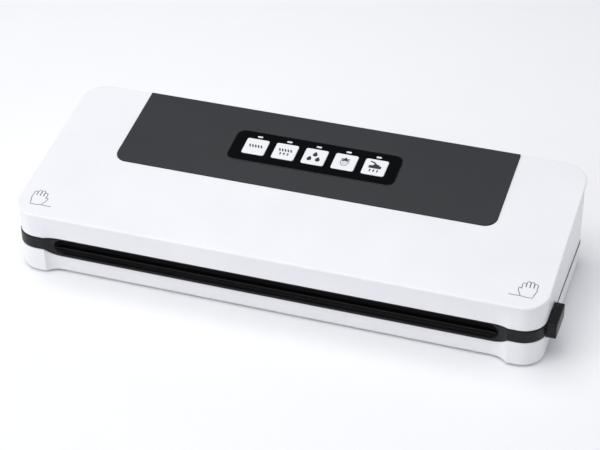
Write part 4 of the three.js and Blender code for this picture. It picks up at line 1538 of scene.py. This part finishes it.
        width = self.groove_in[1] - self.groove_out[1] - 2 * self.gap
        upper = [(inset / width, high - drop) for inset, drop in fillet_steps(high_round, 4)]
        lower = [(inset / width, low + drop) for inset, drop in fillet_steps(low_round, 3)]
        down = [at(share, z) for share, z in upper + lower[::-1]]
        up = [at(1 - share, z) for share, z in lower + upper[::-1]]
        return loft(down + up, closed=True)

    def build_deck(self) -> None:
        """The deck itself."""
        plate_rings = [ring(3.0 + i, BODY.base_bay, z) for i, z in
                       ((0.6, self.rear_top), (0.2, self.rear_top), (0.0, self.rear_top - 0.2),
                        (0.0, self.plate_low), (0.5, self.plate_low))]
        platform = cushion(rounded(*self.platform, 5), self.plate_low + 1, BODY.deck_top,
                           self.edge_round)
        outer = prism(self.seal_plan(self.groove_out, 0), self.groove_floor, OVER_DECK)
        groove = carve(outer, prism(self.seal_plan(self.groove_in, 0), 0, 90))
        cuts = [
            groove,
            cushion(rounded(-self.chamber_half, self.chamber_half, self.chamber_front,
                            self.chamber_rear, 5, 8, 8), self.chamber_floor, OVER_DECK, 1, 1.8),
            cushion(rounded(-self.heater_half, self.heater_half, self.heater_front,
                            self.heater_rear, 0.8), self.heater_floor, OVER_DECK, 0.5, 0.3),
            prism(rounded(*self.machine_well), 0, OVER_DECK),
            pipe_y(self.nozzle_x, -20, 10, self.nozzle_z, self.nozzle_room),
        ]
        for side in Side:
            parts = [
                block(*self.latch_pocket),
                block(*self.barrel_opening, HINGE_Y - BARREL_R - self.gap, self.behind, 0,
                      OVER_DECK),
                block(*self.arm_opening, HINGE_Y - 4, self.behind, self.arm_floor, OVER_DECK),
            ]
            cuts += [part.mirrored(side) for part in parts]
        slot = prism(rounded(*self.latch_slot), 0, OVER_DECK)
        cuts += [slot, slot.moved(x=-self.latch_step), block(*self.bar_channel)]
        cuts += [block(*self.button_opening), block(*self.stem_opening)]
        cuts += [post(side.value * self.screw_x, y, 10, 20, SCREW_R)
                 for side in Side for y in self.screw_rows]
        seam_rings = [ring(self.seam_inset + i, BODY.base_bay, z) for i, z in
                      ((0.3, self.seam_top), (0.1, self.seam_top), (0.0, self.seam_top - 0.1),
                       (0.0, self.side_low), (0.3, self.side_low))]
        seam = carve(loft(seam_rings), block(-FAR, FAR, self.seam_rear, FAR, 0, OVER_DECK))
        deck = carve(weld(self.front(), loft(plate_rings), platform, seam), *cuts)
        make_piece("deck", deck, BLACK_ABS, "base", ["chamber_deck"])

    def build_seals(self) -> None:
        """Lower and upper gasket, the heater bar and the strip that presses on it."""
        lower = self.hoop(self.groove_floor + self.gap, self.gasket_top, 0.3, 1.4)
        make_piece("gasket_low", lower, FOAM, "base", ["lower_gasket"])
        upper = self.hoop(self.upper_seal, self.plate_under, 0.7, 0.3)
        make_piece("gasket_high", upper, FOAM, "lid", ["upper_gasket"])
        g, half = self.gap, self.heater_half - self.gap
        plan = rounded(-half, half, self.heater_front + g, self.heater_rear - g, 1.0, 5, 8)
        bar = cushion(plan, self.heater_floor + g, self.heater_top, 0.6)
        make_piece("heater_bar_moulding", bar, SILICONE, "base", ["heater_bar"])
        press = cushion(rounded(*self.press_strip, 5, 8), 30.5, self.plate_under, 0.2, 0.8)
        make_piece("press_strip_moulding", press, SILICONE, "lid", ["press_strip"])
        dress_node("heating_element", NICHROME)
        dress_node("ptfe_tape", PTFE_CLOTH)

    def build_cover(self) -> None:
        """The raised cover over pump and transformer, hollow below."""
        half, wall, low, top = self.cover_half, self.cover_wall, self.cover_low, self.cover_top
        outer = rounded(-half, half, self.cover_front, self.cover_rear, self.cover_corner, 12, 8)
        inner = rounded(wall - half, half - wall, self.cover_front + wall, self.cover_rear - wall,
                        self.cover_corner - wall, 12, 8)
        rings = [ring_at(outer, 3.4, top)]
        rings += [ring_at(outer, inset, top - drop) for inset, drop in fillet_steps(3.0, 7)]
        rings += [ring_at(outer, 0, low + 0.3), ring_at(outer, 0.3, low), ring_at(inner, 0, low)]
        rings += [ring_at(inner, inset, top - wall - drop)
                  for inset, drop in ((0, 2.0), (2.0, 0), (2.6, 0))]
        cover = carve(loft(rings), pipe_y(self.nozzle_x, 0, 9, self.nozzle_z, self.nozzle_room))
        make_piece("cover", cover, BLACK_ABS, "base", ["equipment_cover"])

    def build(self) -> None:
        """Every piece of the deck."""
        self.build_deck()
        self.build_seals()
        self.build_cover()


# ---- Release button and hidden machinery ---------------------------------------------------------


@dataclass
class Release:
    """The black push button at the right that frees the lid.

    The window is the plan of the hole in its stem: (left, right, front, rear, corner radius).
    """

    near: float = 187.0
    out: float = float(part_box("release_button")[1][0]) / MM - BODY_SHIFT
    y0: float = -56.5
    y1: float = -30.0
    z0: float = 18.3
    z1: float = 29.4
    corner: float = 1.6
    rim: float = 0.9
    crown: float = 0.2
    stem_end: float = 160.0
    stem_y: tuple[float, float] = (-51.0, -35.0)
    stem_z: tuple[float, float] = (21.6, 24.6)
    window: tuple[float, ...] = (165.0, 177.0, -48.5, -37.5, 1.0)
    coil_start: tuple[float, float, float] = (152.2, -43.0, 21.5)
    coil_radius: float = 2.6
    coil_length: float = 7.0
    wire: float = 0.45
    turns: int = 5
    pressed: float = 0.72

    def build(self) -> None:
        """The button with its hooked stem; its spring and the bar to the left catch."""
        face = rounded(self.y0, self.y1, self.z0, self.z1, self.corner, 8, 4)
        pad = cushion(face, self.near, self.out - self.crown, self.rim, 0, self.crown)
        stem = block(self.stem_end, self.near + 1, *self.stem_y, *self.stem_z)
        window = prism(rounded(*self.window), 0, OVER_DECK)
        button = carve(weld(pad.placed(CYCLE), stem), window)
        make_piece("release_pad", button, BLACK_ABS, "release", ["release_button"])
        dress_node("catch_bar", BLACK_ABS, 0.4)
        self.build_spring()

    def build_spring(self) -> None:
        """The coil behind the stem.

        Its wire follows x = L t, y = r cos(2 pi n t), z = r sin(2 pi n t). Each ring of the wire
        spans the radial direction and the one square to it and to the path.
        """
        turn = 2 * math.pi * self.turns
        t = np.linspace(0, 1, self.turns * 24 + 1)
        radial = np.stack([np.zeros_like(t), np.cos(turn * t), np.sin(turn * t)], 1)
        path = np.array(self.coil_start) + self.coil_radius * radial
        path[:, 0] += self.coil_length * t
        along = np.gradient(path, axis=0)
        along /= np.linalg.norm(along, axis=1, keepdims=True)
        square = np.cross(along, radial)
        a = np.linspace(0, 2 * math.pi, 10, endpoint=False)[:, None]
        rings = [p + self.wire * (np.cos(a) * u + np.sin(a) * v)
                 for p, u, v in zip(path, radial, square)]
        coil = make_piece("spring_coil", loft(rings[::-1]), STEEL, "base", ["release_spring"])
        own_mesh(coil)


HIDDEN: dict[str, tuple[Finish, str]] = {
    "suction_nozzle": (BLACK_ABS, "black_trim"),
    "pump_head": (BLACK_ABS, "black_trim"),
    "pump_motor": (STEEL, "steel"),
    "vent_valve": (BLACK_ABS, "black_trim"),
    "air_hose": (RUBBER, "rubber_feet"),
    "transformer_core": (STEEL, "steel"),
    "transformer_winding": (COPPER, "copper_winding"),
    "power_board": (LAMINATE, "circuit_board"),
    "hinge_pin_left": (STEEL, "steel"),
    "hinge_pin_right": (STEEL, "steel"),
}


# ---- Stage ----------------------------------------------------------------------------------------


@dataclass
class Studio:
    """A pale floor, soft lamps and the camera."""

    lens: float = 108.84
    yaw: float = -18.966
    pitch: float = 34.22
    roll: float = -0.455
    aim: tuple[float, float] = (-0.264, -14.662)
    distance: float = 1253.09
    datum: float = 48.5
    pale: float = 0.70
    dim_sides: tuple[tuple[tuple[float, float, float], float, float, float], ...] = (
        ((-0.27, 0.54, 0.80), 0.6, 0.98, 0.08),
        ((0.66, -0.75, 0.05), 0.35, 0.95, 0.45),
    )

    def build_camera(self) -> None:
        """A long lens from above the front left.

        Forward is (sin y cos p, cos y cos p, -sin p) for yaw y and pitch p; the frame is then
        rolled, and the aim point lies on the level of the lid's front edge.
        """
        y, p, r = (math.radians(a) for a in (self.yaw, self.pitch, self.roll))
        ahead = Vector((math.sin(y) * math.cos(p), math.cos(y) * math.cos(p), -math.sin(p)))
        right = Vector((math.cos(y), -math.sin(y), 0))
        up = right.cross(ahead)
        place = right * self.aim[0] + up * self.aim[1] - ahead * self.distance
        place += Vector((BODY_SHIFT, 0, self.datum))
        right, up = (right * math.cos(r) + up * math.sin(r), up * math.cos(r) - right * math.sin(r))
        data = bpy.data.cameras.new("camera")
        data.lens = self.lens
        data.sensor_width = 36
        data.clip_start, data.clip_end = 0.05, 20
        camera = bpy.data.objects.new("camera", data)
        turn = Matrix((right, up, -ahead)).transposed().to_4x4()
        camera.matrix_world = Matrix.Translation(place * MM) @ turn
        bpy.context.scene.collection.objects.link(camera)
        bpy.context.scene.camera = camera

    def build_lamp(self, name: str, place: Sequence[float], size: tuple[float, float],
                   power: float) -> None:
        """A rectangular soft lamp that looks at the middle of the machine, sizes in metres.

        Args:
            name: the lamp's name.
            place: where it stands, in metres.
            size: width and height, in metres.
            power: its power in watts.
        """
        data = bpy.data.lights.new(name, "AREA")
        data.shape = "RECTANGLE"
        data.size, data.size_y = size
        data.energy = power
        lamp = bpy.data.objects.new(name, data)
        lamp.location = place
        lamp.rotation_mode = "QUATERNION"
        lamp.rotation_quaternion = (Vector((0, 0, 0.03)) - Vector(place)).to_track_quat("-Z", "Y")
        bpy.context.scene.collection.objects.link(lamp)

    def build_floor(self) -> None:
        """A pale, even floor under the feet."""
        plane = Shape(np.array([[-3, -3, 0], [3, -3, 0], [3, 3, 0], [-3, 3, 0]]) / MM, [(0, 1, 2, 3)])
        floor = bpy.data.objects.new("floor", as_mesh("floor", plane, MM))
        floor.data.materials.append(
            Finish("pale_paper", "#fdfdfd", "#ffffff", (0.8, 0.9), depth=0.001).material()
        )
        bpy.context.scene.collection.objects.link(floor)

    def build(self) -> None:
        """Camera, floor, lamps and the pale surroundings."""
        self.build_camera()
        self.build_floor()
        self.build_lamp("overhead", (-0.2, -0.1, 1.3), (1.5, 1.0), 11.6)
        self.build_lamp("front_left", (-1.3, -1.1, 0.55), (0.8, 0.8), 5.5)
        self.build_world()
        bpy.context.scene.view_settings.view_transform = "Standard"

    def build_world(self) -> None:
        """Even pale surroundings, dim high up behind the machine and to its front right."""
        world = bpy.data.worlds.new("studio")
        world.use_nodes = True
        tree = world.node_tree
        tree.nodes.clear()
        looking = add_node(tree, "ShaderNodeTexCoord").outputs["Generated"]
        strength: bpy.types.NodeSocket | float = self.pale
        for toward, start, end, share in self.dim_sides:
            facing = add_node(tree, "ShaderNodeVectorMath", {0: looking, 1: toward},
                              operation="DOT_PRODUCT").outputs["Value"]
            fall = add_node(tree, "ShaderNodeMapRange",
                            {"Value": facing, "From Min": start, "From Max": end,
                             "To Min": 1.0, "To Max": share}).outputs["Result"]
            strength = add_node(tree, "ShaderNodeMath", {0: fall, 1: strength},
                                operation="MULTIPLY").outputs[0]
        back = add_node(tree, "ShaderNodeBackground",
                        {"Color": linear("#f4f6ff"), "Strength": strength})
        add_node(tree, "ShaderNodeOutputWorld", {"Surface": back.outputs["Background"]})
        bpy.context.scene.world = world


def main() -> None:
    """Builds the assembly in order and dresses what stays as the CAD made it."""
    logging.basicConfig(level=logging.INFO, format="%(name)s: %(message)s")
    lid = Lid()
    for assembly in (Base(), Deck(), Release(), lid, Controls(), Pictograms()):
        assembly.build()
    for name, x, y in lid.screws:
        shape = screw_shape(11).moved(x, y, lid.plate_low - 2.5)
        make_piece(f"lid_screw_{name}_pan", shape, STEEL, "lid", [f"lid_screw_{name}"])
    for node, (finish, slot) in HIDDEN.items():
        dress_node(node, finish)
    Studio().build()


if __name__ == "__main__":
    main()
